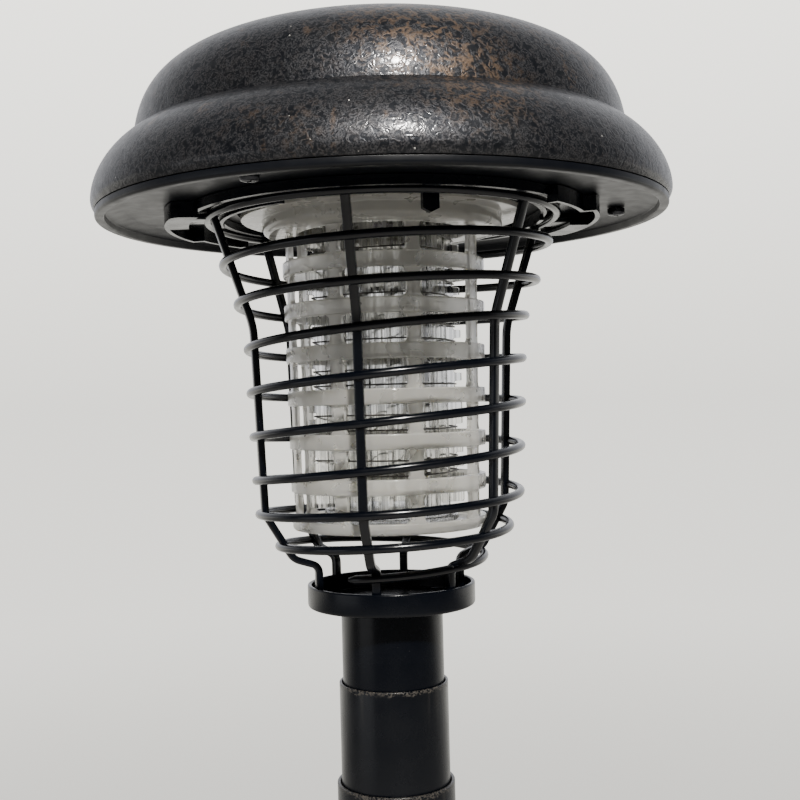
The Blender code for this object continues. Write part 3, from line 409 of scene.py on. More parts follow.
def fluted_plastic():
    """Clear moulded plastic with upright streaks: some frosted, and some darkened as painted shade
    for the shadow and reflections seen through the core.
    """
    look = Recipe("fluted_plastic", {"IOR": 1.49})
    streaks = look.noise(650, 2, 0.0, look.stretched(1, 1, 0.02))
    frosted = look.span(streaks, 0.52, 0.62)
    # Painted shade: these streaks darken the clear plastic's colour to stand in for the shadow and
    # dark reflections seen through the core.
    dark = look.span(streaks, 0.38, 0.47, 1.0, 0.0)
    look.colour(look.mix(look.both(dark, 0.8), (0.95, 0.95, 0.92), (0.42, 0.42, 0.42)))
    look.feed(look.shader.inputs["Transmission Weight"], look.span(frosted, 0.0, 1.0, 1.0, 0.55))
    look.roughness(look.span(look.noise(260, 3), 0.35, 0.7, 0.03, 0.10))
    look.bump(streaks, 0.00012)
    return look.material


def metal(name, colour, roughness, grain=(1, 1, 1)):
    """Bare metal with fine drawn lines and slightly darker stains."""
    look = Recipe(name, {"Metallic": 1.0})
    lines = look.noise(1800, 3, where=look.stretched(*grain))
    stain = look.span(look.noise(300, 4, 0.4), 0.45, 0.7)
    look.colour(look.mix(look.both(stain, 0.8), colour, toned(colour, 0.45)))
    look.roughness(look.span(lines, 0.3, 0.7, roughness - 0.06, roughness + 0.10))
    look.bump(lines, 0.00002)
    return look.material


def solar_cells():
    """Dark blue cells with silver fingers across and two busbars along."""
    look = Recipe("solar_cells", {"Specular IOR Level": 0.6, "Coat Weight": 0.5,
                                  "Coat Roughness": 0.08})
    across = look.axis("X")
    along = look.axis("Y")

    def lines(value, pitch, width):
        part = look.maths("PINGPONG", value, pitch / 2)
        return look.span(part, width / 2, width, 1.0, 0.0)

    fingers = lines(along, 2.0 * MM, 0.14 * MM)
    busbars = lines(look.maths("ADD", across, 7 * MM), 28 * MM, 0.9 * MM)
    gaps = look.maths("MAXIMUM", lines(across, 28 * MM, 0.7 * MM), lines(along, 18.6 * MM, 0.7 * MM))
    crystal = look.span(look.cells(190), 0.2, 0.7)
    base = look.mix(crystal, (0.010, 0.016, 0.050), (0.018, 0.032, 0.095))
    base = look.mix(look.both(fingers, 0.6), base, (0.30, 0.32, 0.35))
    base = look.mix(gaps, base, (0.008, 0.009, 0.012))
    base = look.mix(busbars, base, (0.50, 0.51, 0.52))
    look.colour(base)
    look.uneven(400, 2, 0.22, 0.32)
    look.bump(look.maths("MAXIMUM", busbars, fingers), 0.00004)
    return look.material


def green_board():
    """Solder-masked board with copper tracks and pads."""
    look = Recipe("green_board", {"Specular IOR Level": 0.5, "Coat Weight": 0.3})
    tracks = look.ridge(look.noise(190, 0, where=look.stretched(1, 0.35, 1)), 22)
    pads = look.span(look.cells(330), 0.16, 0.20, 1.0, 0.0)
    base = look.mix(look.both(tracks, 0.7), (0.012, 0.075, 0.026), (0.03, 0.16, 0.05))
    base = look.mix(look.both(pads, look.span(look.noise(60, 1), 0.48, 0.52)), base,
                    (0.62, 0.60, 0.55))
    look.colour(base)
    look.uneven(500, 2, 0.28, 0.42)
    look.bump(tracks, 0.00005)
    return look.material


def moulded(name, colour, roughness, wave):
    """A plain moulded or wrapped surface with uneven colour and a fine grain."""
    look = Recipe(name, {"Specular IOR Level": 0.5})
    patches = look.span(look.noise(120, 4), 0.35, 0.65)
    look.colour(look.mix(patches, colour, toned(colour, wave)))
    look.uneven(600, 3, roughness - 0.06, roughness + 0.08)
    look.bump(look.noise(1500, 3), 0.00004)
    return look.material


def banded(name, colour, band, pitch, roughness):
    """A wound or wrapped surface with bands along its height."""
    look = Recipe(name, {"Specular IOR Level": 0.5})
    turns = look.span(look.maths("PINGPONG", look.axis("Z"), pitch / 2), 0.0, pitch / 4)
    look.colour(look.mix(turns, band, colour))
    look.uneven(500, 3, roughness - 0.05, roughness + 0.08)
    look.bump(turns, 0.00008)
    return look.material


def foam():
    """Closed-cell black foam."""
    look = Recipe("foam", {"Specular IOR Level": 0.2})
    pores = look.cells(1400)
    look.colour(look.mix(look.span(pores, 0.1, 0.5), (0.010, 0.010, 0.010), (0.035, 0.034, 0.033)))
    look.uneven(300, 2, 0.85, 0.98)
    look.bump(pores, 0.0002)
    return look.material


def make_looks():
    """Every material, by the name of the record's slot or by a use of its own."""
    return {
        "hood_finish": hammered_paint(),
        "plate": black_plastic("plate_plastic", 0.38, 0.35, 0.33),
        "black_plastic": black_plastic("black_plastic", 0.24, 0.35, 0.27),
        "black_wire": black_plastic("cage_plastic", 0.19, 0.25, 0.45),
        "upper_tube": scuffed_tube("upper_tube_paint", UPPER_TUBE_TOP),
        "lower_tube": scuffed_tube("lower_tube_paint", LOWER_TUBE_TOP),
        "milky_plastic": milky_plastic("milky_plastic", 0.72),
        # Painted shade: the diffuser is the milky plastic with a greyer, darker colour, standing in
        # for the shade that the hood casts on it.
        "diffuser": milky_plastic("diffuser_plastic", 0.45, (0.70, 0.69, 0.64)),
        "clear_plastic": fluted_plastic(),
        "clear_cover": clear_plastic("window_glass", (0.95, 0.96, 0.97), 0.03),
        "led_lens": clear_plastic("led_lens", (0.86, 0.82, 0.95), 0.06),
        "wire_steel": metal("live_wire_steel", (0.16, 0.15, 0.14), 0.42),
        "spring_steel": metal("spring_steel", (0.60, 0.59, 0.57), 0.28),
        "screw_steel": metal("screw_steel", (0.060, 0.061, 0.067), 0.32),
        "switch_metal": metal("switch_metal", (0.56, 0.56, 0.57), 0.32, (0.2, 1, 1)),
        "solar_cell": solar_cells(),
        "foam": foam(),
        "white_board": moulded("white_board", (0.74, 0.74, 0.71), 0.45, 0.93),
        "green_board": green_board(),
        "transformer_tape": banded("transformer_tape", (0.62, 0.47, 0.07), (0.35, 0.25, 0.04),
                                   3.6 * MM, 0.42),
        "capacitor_sleeve": banded("capacitor_sleeve", (0.018, 0.022, 0.075), (0.25, 0.26, 0.30),
                                   12 * MM, 0.30),
        "film_red": moulded("film_red", (0.30, 0.045, 0.022), 0.36, 0.75),
        "battery_wrap": moulded("battery_wrap", (0.03, 0.12, 0.30), 0.30, 0.8),
        "panel_lead_plus": moulded("lead_red", (0.42, 0.020, 0.018), 0.42, 0.8),
        "panel_lead_minus": moulded("lead_black", (0.016, 0.016, 0.017), 0.42, 0.8),
    }


LOOKS = make_looks()


# ---------------------------------------------------------------- mesh helpers

def at_bearing(radius, bearing, height):
    angle = math.radians(bearing)
    return Vector((radius * math.sin(angle), -radius * math.cos(angle), height))


def turned_to(bearing):
    return Matrix.Rotation(math.radians(bearing), 4, "Z")


def carried_to(radius, bearing):
    return Matrix.Translation(at_bearing(radius, bearing, 0))


def softened(outline, bend, steps=3):
    """Rounds the corners of a closed outline. A corner's third number is a bend of its own."""
    result = []
    for index, corner in enumerate(outline):
        here = Vector(corner[:2])
        back = Vector(outline[index - 1][:2]) - here
        ahead = Vector(outline[(index + 1) % len(outline)][:2]) - here
        own_bend = corner[2] if len(corner) > 2 else bend
        if here.x <= 0 or own_bend == 0 or back.angle(ahead) > math.radians(172):
            result.append(tuple(here))
            continue
        room = min(back.length, ahead.length) * 0.49
        reach = min(own_bend / math.tan(back.angle(ahead) / 2), room)
        start = here + back.normalized() * reach
        end = here + ahead.normalized() * reach
        for step in range(steps + 1):
            part = step / steps
            point = start * (1 - part) ** 2 + here * (2 * part * (1 - part)) + end * part ** 2
            result.append(tuple(point))
    return result


def turned(profile, segments=FINE, bm=None):
    """Turns a closed outline of (radius, height) points round the Z axis."""
    bm = bmesh.new() if bm is None else bm
    rings = []
    for radius, height in profile:
        if radius <= 0:
            rings.append([bm.verts.new((0, 0, height))])
        else:
            rings.append([bm.verts.new(at_bearing(radius, TURN * step / segments, height))
                          for step in range(segments)])
    for low, high in zip(rings, rings[1:] + rings[:1]):
        if len(low) == 1 and len(high) == 1:
            continue
        for step in range(segments):
            after = (step + 1) % segments
            corners = [low[step % len(low)], low[after % len(low)],
                       high[after % len(high)], high[step % len(high)]]
            bm.faces.new(list(dict.fromkeys(corners)))
    return bm


def moved(bm, matrix):
    bmesh.ops.transform(bm, matrix=matrix, verts=bm.verts)
    return bm


def loft(rings, endless=False, bm=None):
    """Joins rings of points into one body, with a face over each end or, endless, end to end."""
    bm = bmesh.new() if bm is None else bm
    rings = [[bm.verts.new(point) for point in ring] for ring in rings]
    pairs = list(zip(rings, rings[1:] + rings[:1]))
    for near, far in pairs if endless else pairs[:-1]:
        for index in range(len(near)):
            after = (index + 1) % len(near)
            bm.faces.new((near[index], near[after], far[after], far[index]))
    if not endless:
        bm.faces.new(rings[0])
        bm.faces.new(rings[-1])
    return bm


def prism(outline, low, high, bm=None):
    return loft([[(x, y, z) for x, y in outline] for z in (low, high)], bm=bm)


def block(low, high):
    outline = [(low[0], low[1]), (high[0], low[1]), (high[0], high[1]), (low[0], high[1])]
    return prism(outline, low[2], high[2])


def rounded_square(half, corner, steps=8):
    outline = []
    for quarter in range(4):
        turn = math.radians(90 * quarter)
        centre_x = (half - corner) * (math.cos(turn) - math.sin(turn))
        centre_y = (half - corner) * (math.sin(turn) + math.cos(turn))
        for step in range(steps + 1):
            angle = turn + math.radians(90) * step / steps
            outline.append((centre_x + corner * math.cos(angle),
                            centre_y + corner * math.sin(angle)))
    return outline


def arc_strip(inner, outer, first, last):
    """Outline of a curved strip between two radii and two bearings."""
    half_angle = (last - first) / 2
    return sector(inner, outer, first + half_angle, half_angle, math.ceil(half_angle))


def sector(inner, outer, centre, half_angle, steps):
    """The same outline from the bearing of its middle, with its own number of steps."""
    bearings = [centre - half_angle + 2 * half_angle * step / steps for step in range(steps + 1)]
    inside = [at_bearing(inner, bearing, 0).to_2d() for bearing in bearings]
    outside = [at_bearing(outer, bearing, 0).to_2d() for bearing in reversed(bearings)]
    return [tuple(point) for point in inside + outside]


def sweep(points, sections, sideways=None, bm=None):
    """Carries a closed section along a path. sections is one section, or one for each point."""
    rings = []
    last = len(points) - 1
    upright = Vector((0, 0, 1))
    for index, point in enumerate(points):
        tangent = (points[min(index + 1, last)] - points[max(index - 1, 0)]).normalized()
        side = sideways if sideways is not None else upright.cross(tangent)
        if side.length < 1e-3:
            side = Vector((1, 0, 0)).cross(tangent)
        side = (side - tangent * side.dot(tangent)).normalized()
        up = tangent.cross(side)
        section = sections[index] if isinstance(sections[0], list) else sections
        rings.append([point + side * u + up * v for u, v in section])
    return loft(rings, bm=bm)


def circle_section(radius, sides):
    return [(radius * math.cos(2 * math.pi * step / sides),
             radius * math.sin(2 * math.pi * step / sides)) for step in range(sides)]


def flat_section(half_width, half_thick, bend, steps=3):
    """A rectangle with rounded corners, centred on the path."""
    corners = [(-half_width, -half_thick), (half_width, -half_thick),
               (half_width, half_thick), (-half_width, half_thick)]
    shifted = [(x + 1, y) for x, y in corners]
    return [(x - 1, y) for x, y in softened(shifted, bend, steps)]


def filleted(corners):
    """Points along a line whose corners (x, y, bend radius) are rounded by arcs."""
    steps = 6
    path = [Vector(corners[0][:2])]
    for before, corner, after in zip(corners, corners[1:], corners[2:]):
        here = Vector(corner[:2])
        inward = (Vector(before[:2]) - here).normalized()
        outward = (Vector(after[:2]) - here).normalized()
        half = inward.angle(outward) / 2
        cut = corner[2] / math.tan(half)
        centre = here + (inward + outward).normalized() * (corner[2] / math.sin(half))
        start = here + inward * cut - centre
        end = here + outward * cut - centre
        total = start.angle(end)
        for step in range(steps + 1):
            part = step / steps
            path.append(centre + (start * math.sin((1 - part) * total)
                                  + end * math.sin(part * total)) / math.sin(total))
    path.append(Vector(corners[-1][:2]))
    return path


def as_object(name, bm):
    bmesh.ops.recalc_face_normals(bm, faces=bm.faces)
    mesh = bpy.data.meshes.new(name)
    bm.to_mesh(mesh)
    bm.free()
    thing = bpy.data.objects.new(name, mesh)
    bpy.context.scene.collection.objects.link(thing)
    return thing


def settle(thing):
    """Makes the modifiers' result the object's own mesh."""
    depsgraph = bpy.context.evaluated_depsgraph_get()
    result = bpy.data.meshes.new_from_object(thing.evaluated_get(depsgraph))
    thing.modifiers.clear()
    thing.data = result


def combine(body, bm, operation):
    tool = as_object("tool", bm)
    modifier = body.modifiers.new("combine", "BOOLEAN")
    modifier.operation = operation
    modifier.solver = "EXACT"
    modifier.object = tool
    settle(body)
    bpy.data.objects.remove(tool, do_unlink=True)


def unite(body, shape):
    combine(body, shape, "UNION")


def cut(body, shape):
    combine(body, shape, "DIFFERENCE")


def soften_edges(thing, width, angle=40):
    modifier = thing.modifiers.new("soften", "BEVEL")
    modifier.width = width
    modifier.segments = 2
    modifier.limit_method = "ANGLE"
    modifier.angle_limit = math.radians(angle)
    settle(thing)


def dress(thing, body, slot, *nodes, look=None, smooth_angle=35):
    """Gives a piece its material, picked by its slot or by a look of its own, puts it under its body
    and hides the CAD nodes that it stands for.
    """
    thing.data.materials.clear()
    thing.data.materials.append(LOOKS[look or slot])
    thing.data.shade_smooth()
    thing.data.set_sharp_from_angle(angle=math.radians(smooth_angle))
    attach(thing, body)
    if nodes:
        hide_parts(*nodes)


# ---------------------------------------------------------------- hood

def dome_height(radius):
    share = min(radius / DOME_RADIUS, 1) ** DOME_SQUARENESS
    return DOME_CENTRE + DOME_RISE * (1 - share) ** (1 / DOME_SQUARENESS)


def swell(centre, reach, base, rise, squareness, low, high, steps):
    """Points of a superellipse's quarter between two heights, from the outside inwards."""
    first, last = [math.asin(min((height - base) / rise, 1) ** (squareness / 2))
                   for height in (low, high)]
    curve = []
    for step in range(steps + 1):
        angle = first + (last - first) * step / steps
        radius = centre + reach * max(math.cos(angle), 0) ** (2 / squareness)
        curve.append((radius, base + rise * math.sin(angle) ** (2 / squareness)))
    return curve


def hood_outline(tier_steps, dome_steps):
    """Outer curve of the hood from its widest point to the crown."""
    tier = swell(TIER_CENTRE, HOOD_RADIUS - TIER_CENTRE, HOOD_WIDEST, TIER_RISE, TIER_SQUARENESS,
                 HOOD_WIDEST, GROOVE, tier_steps)
    dome = swell(0, DOME_RADIUS, DOME_CENTRE, DOME_RISE, DOME_SQUARENESS,
                 GROOVE, DOME_CENTRE + DOME_RISE, dome_steps)
    dome[-1] = (0, dome[-1][1])
    return tier[:-1] + dome


def inset(curve, depth):
    """The inner side of a wall, from the curve of its outer side up to the axis."""
    inner = []
    for before, point, after in zip(curve, curve[1:], curve[2:]):
        along = (Vector(after) - Vector(before)).normalized()
        inner.append(tuple(Vector(point) + Vector((-along.y, along.x)) * depth))
    inner.append((0, curve[-1][1] - depth))
    return inner


def make_hood():
    outer = hood_outline(36, 56)
    inner = inset(hood_outline(10, 18), HOOD_WALL)
    tuck = 0.8 * MM             # how far the edge lies inside the widest line
    chamfer = 0.3 * MM
    edge = HOOD_RADIUS - tuck
    rim = [(edge - 1.9 * MM, HOOD_EDGE), (edge - chamfer, HOOD_EDGE), (edge, HOOD_EDGE + chamfer)]
    for step in range(1, 5):
        share = step / 5
        rim.append((edge + tuck * (1 - (1 - share) ** 2),
                    HOOD_EDGE + chamfer + (HOOD_WIDEST - HOOD_EDGE - chamfer) * share))
    hood = as_object("hood_skin", turned(rim + outer + inner[::-1]))
    well_rim = BAY + 110.6 * MM
    above_crown = BAY + 125 * MM
    unite(hood, prism(rounded_square(WELL_HALF + WELL_WALL, WELL_CORNER + WELL_WALL),
                      WELL_FLOOR - WELL_WALL, well_rim))
    cut(hood, prism(rounded_square(WELL_HALF, WELL_CORNER), WELL_FLOOR, above_crown))
    for vertex in hood.data.vertices:
        vertex.co.z = min(vertex.co.z, cad_bounds[1].z)
    dress(hood, "head", "hood_finish", "hood_shell", smooth_angle=28)


def make_panel_frame():
    """A thin black bezel that follows the crown round the solar panel's well."""
    core_half = 21 * MM         # the bezel's sections point away from a square of this half-width
    rings = []
    section = [(-0.35, -1.4), (-0.35, 0.15), (-0.15, 0.42), (0.6, 0.5), (1.5, 0.36), (1.9, -0.1),
               (1.9, -0.6)]
    for x, y in rounded_square(WELL_HALF, WELL_CORNER, 10):
        spot = Vector((x, y))
        inward = Vector([max(-1, min(1, side / WELL_HALF)) * core_half for side in (x, y)])
        outward = (spot - inward).normalized()
        ring = []
        for out, up in section:
            place = spot + outward * out * MM
            height = min(dome_height(place.length) + up * MM, cad_bounds[1].z - 0.02 * MM)
            ring.append((place.x, place.y, height))
        rings.append(ring)
    bezel = as_object("panel_bezel", loft(rings, endless=True))
    dress(bezel, "head", "black_plastic")


# ---------------------------------------------------------------- underside

def make_base_plate():
    profile = [
        (PLATE_HOLE, PLATE_TOP),
        (PLATE_HOLE, PLATE_UNDER),
        (80.5 * MM, PLATE_UNDER, 6.0 * MM),
        (85.7 * MM, LIP_BOTTOM + 2.0 * MM, 0.3 * MM),
        (86.1 * MM, LIP_BOTTOM, 0.7 * MM),
        (LIP_RADIUS, LIP_BOTTOM, 1.1 * MM),
        (LIP_RADIUS, HOOD_EDGE - 0.3 * MM),
        (86.8 * MM, HOOD_EDGE - 0.3 * MM),
        (86.8 * MM, PLATE_TOP),
    ]
    plate = as_object("underside_plate", turned(softened(profile, 0.15 * MM, 5), 256))
    slot_half = 4.0 * MM
    cut(plate, block((-slot_half, KNOB_CENTRE - 2 * MM, LIP_BOTTOM),
                     (slot_half, KNOB_CENTRE + 2 * MM, PLATE_TOP + MM)))
    for bearing in SCREW_BEARINGS:
        hole = prism(circle_section(1.8 * MM, 24), LIP_BOTTOM, PLATE_TOP + MM)
        cut(plate, moved(hole, carried_to(SCREW_CIRCLE, bearing)))
    dress(plate, "head", "black_plastic", "base_plate", look="plate")


def make_screws():
    low = PLATE_UNDER - 2.5 * MM
    radius = 2.75 * MM
    head = [
        (0, low),
        (radius - 0.9 * MM, low, 0),
        (radius - 0.3 * MM, low + 0.25 * MM, 0.3 * MM),
        (radius, low + 0.9 * MM, 0.3 * MM),
        (radius, PLATE_UNDER - 0.3 * MM, 0.1 * MM),
        (1.5 * MM, PLATE_UNDER - 0.3 * MM, 0),
        (1.5 * MM, BAY + 72 * MM, 0),
        (0, BAY + 73.5 * MM),
    ]
    for number, bearing in enumerate(SCREW_BEARINGS, 1):
        screw = as_object(f"plate_screw_{number}", turned(softened(head, 0.2 * MM), 48))
        for quarter in (0, 90):
            arm = block((-1.55 * MM, -0.33 * MM, low - MM), (1.55 * MM, 0.33 * MM, low + 1.0 * MM))
            cut(screw, moved(arm, turned_to(quarter + 25 * number)))
        screw.data.transform(carried_to(SCREW_CIRCLE, bearing))
        dress(screw, "head", "screw_steel", f"base_screw_{number}", smooth_angle=30)


def lobe_outline(start, inner):
    """A lobe's outline from above, from its lead-in's end to its own, where it is rounded off."""
    corner = 5.5 * MM
    inside = []
    outside = []
    steps = 40
    for step in range(steps + 1):
        bearing = LEAD_IN_TURN + (LOBE_TURN - LEAD_IN_TURN) * step / steps
        left = math.radians(LOBE_TURN - bearing) * LOBE_OUTER
        drop = corner - math.sqrt(corner ** 2 - max(0, corner - left) ** 2)
        inside.append(at_bearing(inner, start + bearing, 0))
        outside.append(at_bearing(LOBE_OUTER - drop, start + bearing, 0))
    return [tuple(point.to_2d()) for point in inside + outside[::-1]]


def tab_shapes():
    """The hanging tab with its pointed end, and the neck that joins it to the collar."""
    half = 2.4 * MM
    tip = BAY + 52.6 * MM
    shoulder = tip + 1.2 * MM
    top = COLLAR_BOTTOM + 1.4 * MM
    outline = ((-half, top), (half, top), (half, shoulder), (0, tip), (-half, shoulder))
    tab = loft([[(x, y, z) for x, z in outline] for y in (-50.0 * MM, -47.8 * MM)])
    neck = block((-half, -52.0 * MM, COLLAR_BOTTOM + 0.6 * MM),
                 (half, -48.4 * MM, COLLAR_BOTTOM + 1.6 * MM))
    return neck, tab


def make_collar():
    profile = [
        (COLLAR_INNER, COLLAR_TOP),
        (COLLAR_INNER, COLLAR_BOTTOM + 0.4 * MM),
        (COLLAR_INNER + 1.8 * MM, COLLAR_BOTTOM + 0.4 * MM),
        (COLLAR_INNER + 2.2 * MM, COLLAR_CEILING),
        (COLLAR_OUTER - 2.2 * MM, COLLAR_CEILING),
        (COLLAR_OUTER - 1.8 * MM, COLLAR_BOTTOM),
        (COLLAR_OUTER, COLLAR_BOTTOM),
        (COLLAR_OUTER, COLLAR_TOP),
    ]
    collar = as_object("collar_ring", turned(profile, 144))
    for start in SKIRT_STARTS:
        band = arc_strip(COLLAR_INNER, COLLAR_INNER + 1.3 * MM, start, start + SKIRT_TURN)
        unite(collar, prism(band, SKIRT_BOTTOM, COLLAR_BOTTOM + 1.2 * MM))
    lobe_inner = COLLAR_OUTER - 1.2 * MM
    pocket_inner = COLLAR_OUTER - 4.5 * MM
    below = LOBE_BOTTOM - MM
    for start in LOBE_STARTS:
        step, ledge, last = [start + turn for turn in (LEAD_IN_TURN, LEDGE_TURN, LOBE_TURN)]
        for outline in (arc_strip(lobe_inner, LEAD_IN_OUTER, start, step),
                        lobe_outline(start, lobe_inner)):
            unite(collar, prism(outline, LOBE_BOTTOM, COLLAR_TOP))
        for outer, first, end, floor in ((LEAD_IN_OUTER, start + 1.6, step + 3, below),
                                         (LOBE_OUTER, step + 1.6, ledge, below),
                                         (LOBE_OUTER, ledge - 1, last - 3, LOBE_BOTTOM + MM)):
            pocket = arc_strip(pocket_inner, outer - LOBE_WALL, first, end)
            cut(collar, prism(pocket, floor, COLLAR_CEILING))
    for shape in tab_shapes():
        unite(collar, moved(shape, turned_to(TAB_BEARING)))
    soften_edges(collar, 0.22 * MM)
    dress(collar, "head", "black_plastic", "bayonet_collar", smooth_angle=50)


def make_knob():
    """The switch's slider, with three grip ridges across its end."""
    stem = block((KNOB_REST - 1.7 * MM, KNOB_CENTRE - 1.7 * MM, PLATE_UNDER - 1.2 * MM),
                 (KNOB_REST + 1.7 * MM, KNOB_CENTRE + 1.7 * MM, PLATE_TOP + 1.5 * MM))
    knob = as_object("slider_knob", stem)
    for offset in (-0.85, 0, 0.85):
        centre = KNOB_REST + offset * MM
        cut(knob, block((centre - 0.18 * MM, KNOB_CENTRE - 2 * MM, PLATE_UNDER - 2 * MM),
                        (centre + 0.18 * MM, KNOB_CENTRE + 2 * MM, PLATE_UNDER - 0.85 * MM)))
    unite(knob, block((KNOB_REST - 2.6 * MM, KNOB_CENTRE - 2.1 * MM, PLATE_TOP + 1.1 * MM),
                      (KNOB_REST + 2.6 * MM, KNOB_CENTRE + 2.1 * MM, PLATE_TOP + 2.3 * MM)))
    soften_edges(knob, 0.1 * MM)
    dress(knob, "knob", "black_plastic", "switch_knob")


# ---------------------------------------------------------------- lamp

def make_diffuser():
    top = FLANGE_BOTTOM + 1.8 * MM
    profile = [
        (DIFFUSER_HOLE, DIFFUSER_BOTTOM + 1.6 * MM, 0.5 * MM),
        (SKIRT_RADIUS - 2.2 * MM, DIFFUSER_BOTTOM + 1.6 * MM, 0.4 * MM),
        (SKIRT_RADIUS - 1.8 * MM, top),
        (FLANGE_RADIUS, top, 0.3 * MM),
        (FLANGE_RADIUS, FLANGE_BOTTOM, 0.3 * MM),
        (SKIRT_RADIUS, FLANGE_BOTTOM, 0.5 * MM),
        (SKIRT_RADIUS, DIFFUSER_BOTTOM, 2.4 * MM),
        (DIFFUSER_HOLE, DIFFUSER_BOTTOM, 0.5 * MM),
    ]
    disc = as_object("diffuser_ring", turned(softened(profile, 0.1 * MM, 6)))
    dress(disc, "head", "milky_plastic", "diffuser_disc", look="diffuser")


def guard_radius(height):
    return GUARD_TOP_RADIUS - (RING_TOP_LEDGE - height) * GUARD_TAPER


def rib_half_width(height):
    """Half the width of a guard rib, which flares where it runs into a ring or the rim."""
    flare = 1.5 * MM
    edges = []
    for number in range(GUARD_RINGS):
        low = RING_TOP_LEDGE - number * RING_PITCH
        edges += [(low, -1), (low + RING_HEIGHT, 1)]
        if low < height < low + RING_HEIGHT:
            return RIB_HALF
    edges += [(DIFFUSER_BOTTOM, -1), (TRAY_RIM, 1)]
    nearest = min((height - edge) * side for edge, side in edges if (height - edge) * side >= 0)
    if nearest >= flare:
        return RIB_HALF
    return RIB_HALF + flare - math.sqrt(flare ** 2 - (flare - nearest) ** 2)


def make_guard():
    rim = guard_radius(GUARD_FLOOR)
    tray = [
        (0, GUARD_FLOOR),
        (rim, GUARD_FLOOR, 0.9 * MM),
        (rim, TRAY_RIM, 0.4 * MM),
        (rim - 2.0 * MM, TRAY_RIM, 0.4 * MM),
        (rim - 2.2 * MM, GUARD_FLOOR + 1.6 * MM, 0.5 * MM),
        (0, GUARD_FLOOR + 1.6 * MM),
    ]
    rings = turned(softened(tray, 0.2 * MM), 144)
    for number in range(GUARD_RINGS):
        low = RING_TOP_LEDGE - number * RING_PITCH
        outer = guard_radius(low)
        upper = guard_radius(low + RING_HEIGHT)
        ring = [(outer - RING_THICK, low), (outer, low), (upper, low + RING_HEIGHT),
                (upper - RING_THICK, low + RING_HEIGHT)]
        turned(softened(ring, 0.45 * MM), 144, rings)
    ribs = bmesh.new()
    rib_top = DIFFUSER_BOTTOM - 0.3 * MM
    rib_low = GUARD_FLOOR + 1.0 * MM
    steps = 150
    heights = [rib_low + (rib_top - rib_low) * step / steps for step in range(steps + 1)]
    for number in range(RIB_COUNT):
        bearing = RIB_FIRST + TURN * number / RIB_COUNT
        points = [at_bearing(guard_radius(height) - 1.7 * MM, bearing, height)
                  for height in heights]
        sections = [flat_section(rib_half_width(height), 0.85 * MM, 0.3 * MM, 2)
                    for height in heights]
        sweep(points, sections, at_bearing(1, bearing + 90, 0), ribs)
    guard = as_object("slotted_guard", rings)
    unite(guard, ribs)
    dress(guard, "head", "milky_plastic", "inner_guard", smooth_angle=40)


def wire_point(strand, travel):
    """A live wire's radius and height, by the degrees it has travelled from the first fin.

    It is pulled straight from fin to fin, runs level over the front half and climbs over the rear.
    """
    turn, part = divmod(travel, TURN)
    climb = max(0, part - 180) / 180
    height = WIRE_LOWEST + WIRE_PITCH * (turn + climb + strand / 2)
    off_fin = min(travel % 90, 90 - travel % 90)
    free = math.degrees(math.acos(WIRE_NEAREST / WIRE_CIRCLE))
    radius = WIRE_NEAREST / math.cos(math.radians(max(0, free - off_fin)))
    return radius, height


def fin(number):
    """One radial fin, with a notch wherever a live wire crosses it."""
    root = CORE_BORE + 1.5 * MM
    notch_floor = 22.9 * MM
    notch_half = 1.1 * MM
    low = CORE_BOTTOM + 0.2 * MM
    high = CORE_TOP - 2 * MM
    crossings = []
    travel = 90 * number
    while travel <= WIRE_TURNS * TURN:
        crossings += [wire_point(strand, travel)[1] for strand in (0, 1)]
        travel += TURN
    edge = [(FIN_RADIUS, low, 0.8 * MM)]
    for height in sorted(crossings):
        edge += [(FIN_RADIUS, height - notch_half, 0.3 * MM),
                 (notch_floor, height - notch_half * 0.8, 0.4 * MM),
                 (notch_floor, height + notch_half * 0.8, 0.4 * MM),
                 (FIN_RADIUS, height + notch_half, 0.3 * MM)]
    edge.append((FIN_RADIUS, high, 0.8 * MM))
    outline = softened([(root, low, 0), *edge, (root, high, 0)], 0.3 * MM)
    half_thick = 0.75 * MM
    blade = loft([[(offset, -radius, height) for radius, height in outline]
                  for offset in (-half_thick, half_thick)])
    return moved(blade, turned_to(FIN_FIRST + 90 * number))


def make_core():
    """A clear fluted tube with rounded flutes, and its four fins."""
    steps = CORE_FLUTES * 10
    bearings = [TURN * step / steps for step in range(steps)]
    scallops = [abs(math.sin(math.radians(bearing * CORE_FLUTES / 2))) for bearing in bearings]
    outer = [CORE_RADIUS - 1.3 * MM * (1 - scallop) for scallop in scallops]
    inner = [CORE_BORE] * steps
    rings = [[at_bearing(radius, bearing, height) for radius, bearing in zip(radii, bearings)]
             for radii, height in ((outer, CORE_BOTTOM), (outer, CORE_TOP),
                                   (inner, CORE_TOP), (inner, CORE_BOTTOM))]
    core = as_object("fluted_core", loft(rings, endless=True))
    for number in range(4):
        unite(core, fin(number))
    dress(core, "head", "clear_plastic", "light_core", smooth_angle=30)


def make_live_wires():
    step = 7.5
    for strand, letter in enumerate("ab"):
        points = []
        for count in range(int(WIRE_TURNS * TURN / step) + 1):
            radius, height = wire_point(strand, count * step)
            points.append(at_bearing(radius, FIN_FIRST + count * step, height))
        bm = sweep(points, circle_section(WIRE_RADIUS, 10))
        dress(as_object(f"winding_{letter}", bm), "head", "wire_steel", f"live_wire_{letter}")


def make_core_cap():
    cap_low = GUARD_FLOOR + 1.9 * MM
    cap_high = CORE_BOTTOM - 0.3 * MM
    cap = [
        (0, cap_low),
        (CAP_RADIUS, cap_low, 0.4 * MM),
        (CAP_RADIUS, cap_low + 1.6 * MM, 0.4 * MM),
        (20.6 * MM, cap_low + 1.8 * MM, 0.3 * MM),
        (20.4 * MM, cap_high, 0.6 * MM),
        (0, cap_high),
    ]
    dress(as_object("foot_cap", turned(softened(cap, 0.2 * MM))), "head", "clear_plastic",
          "core_cap")


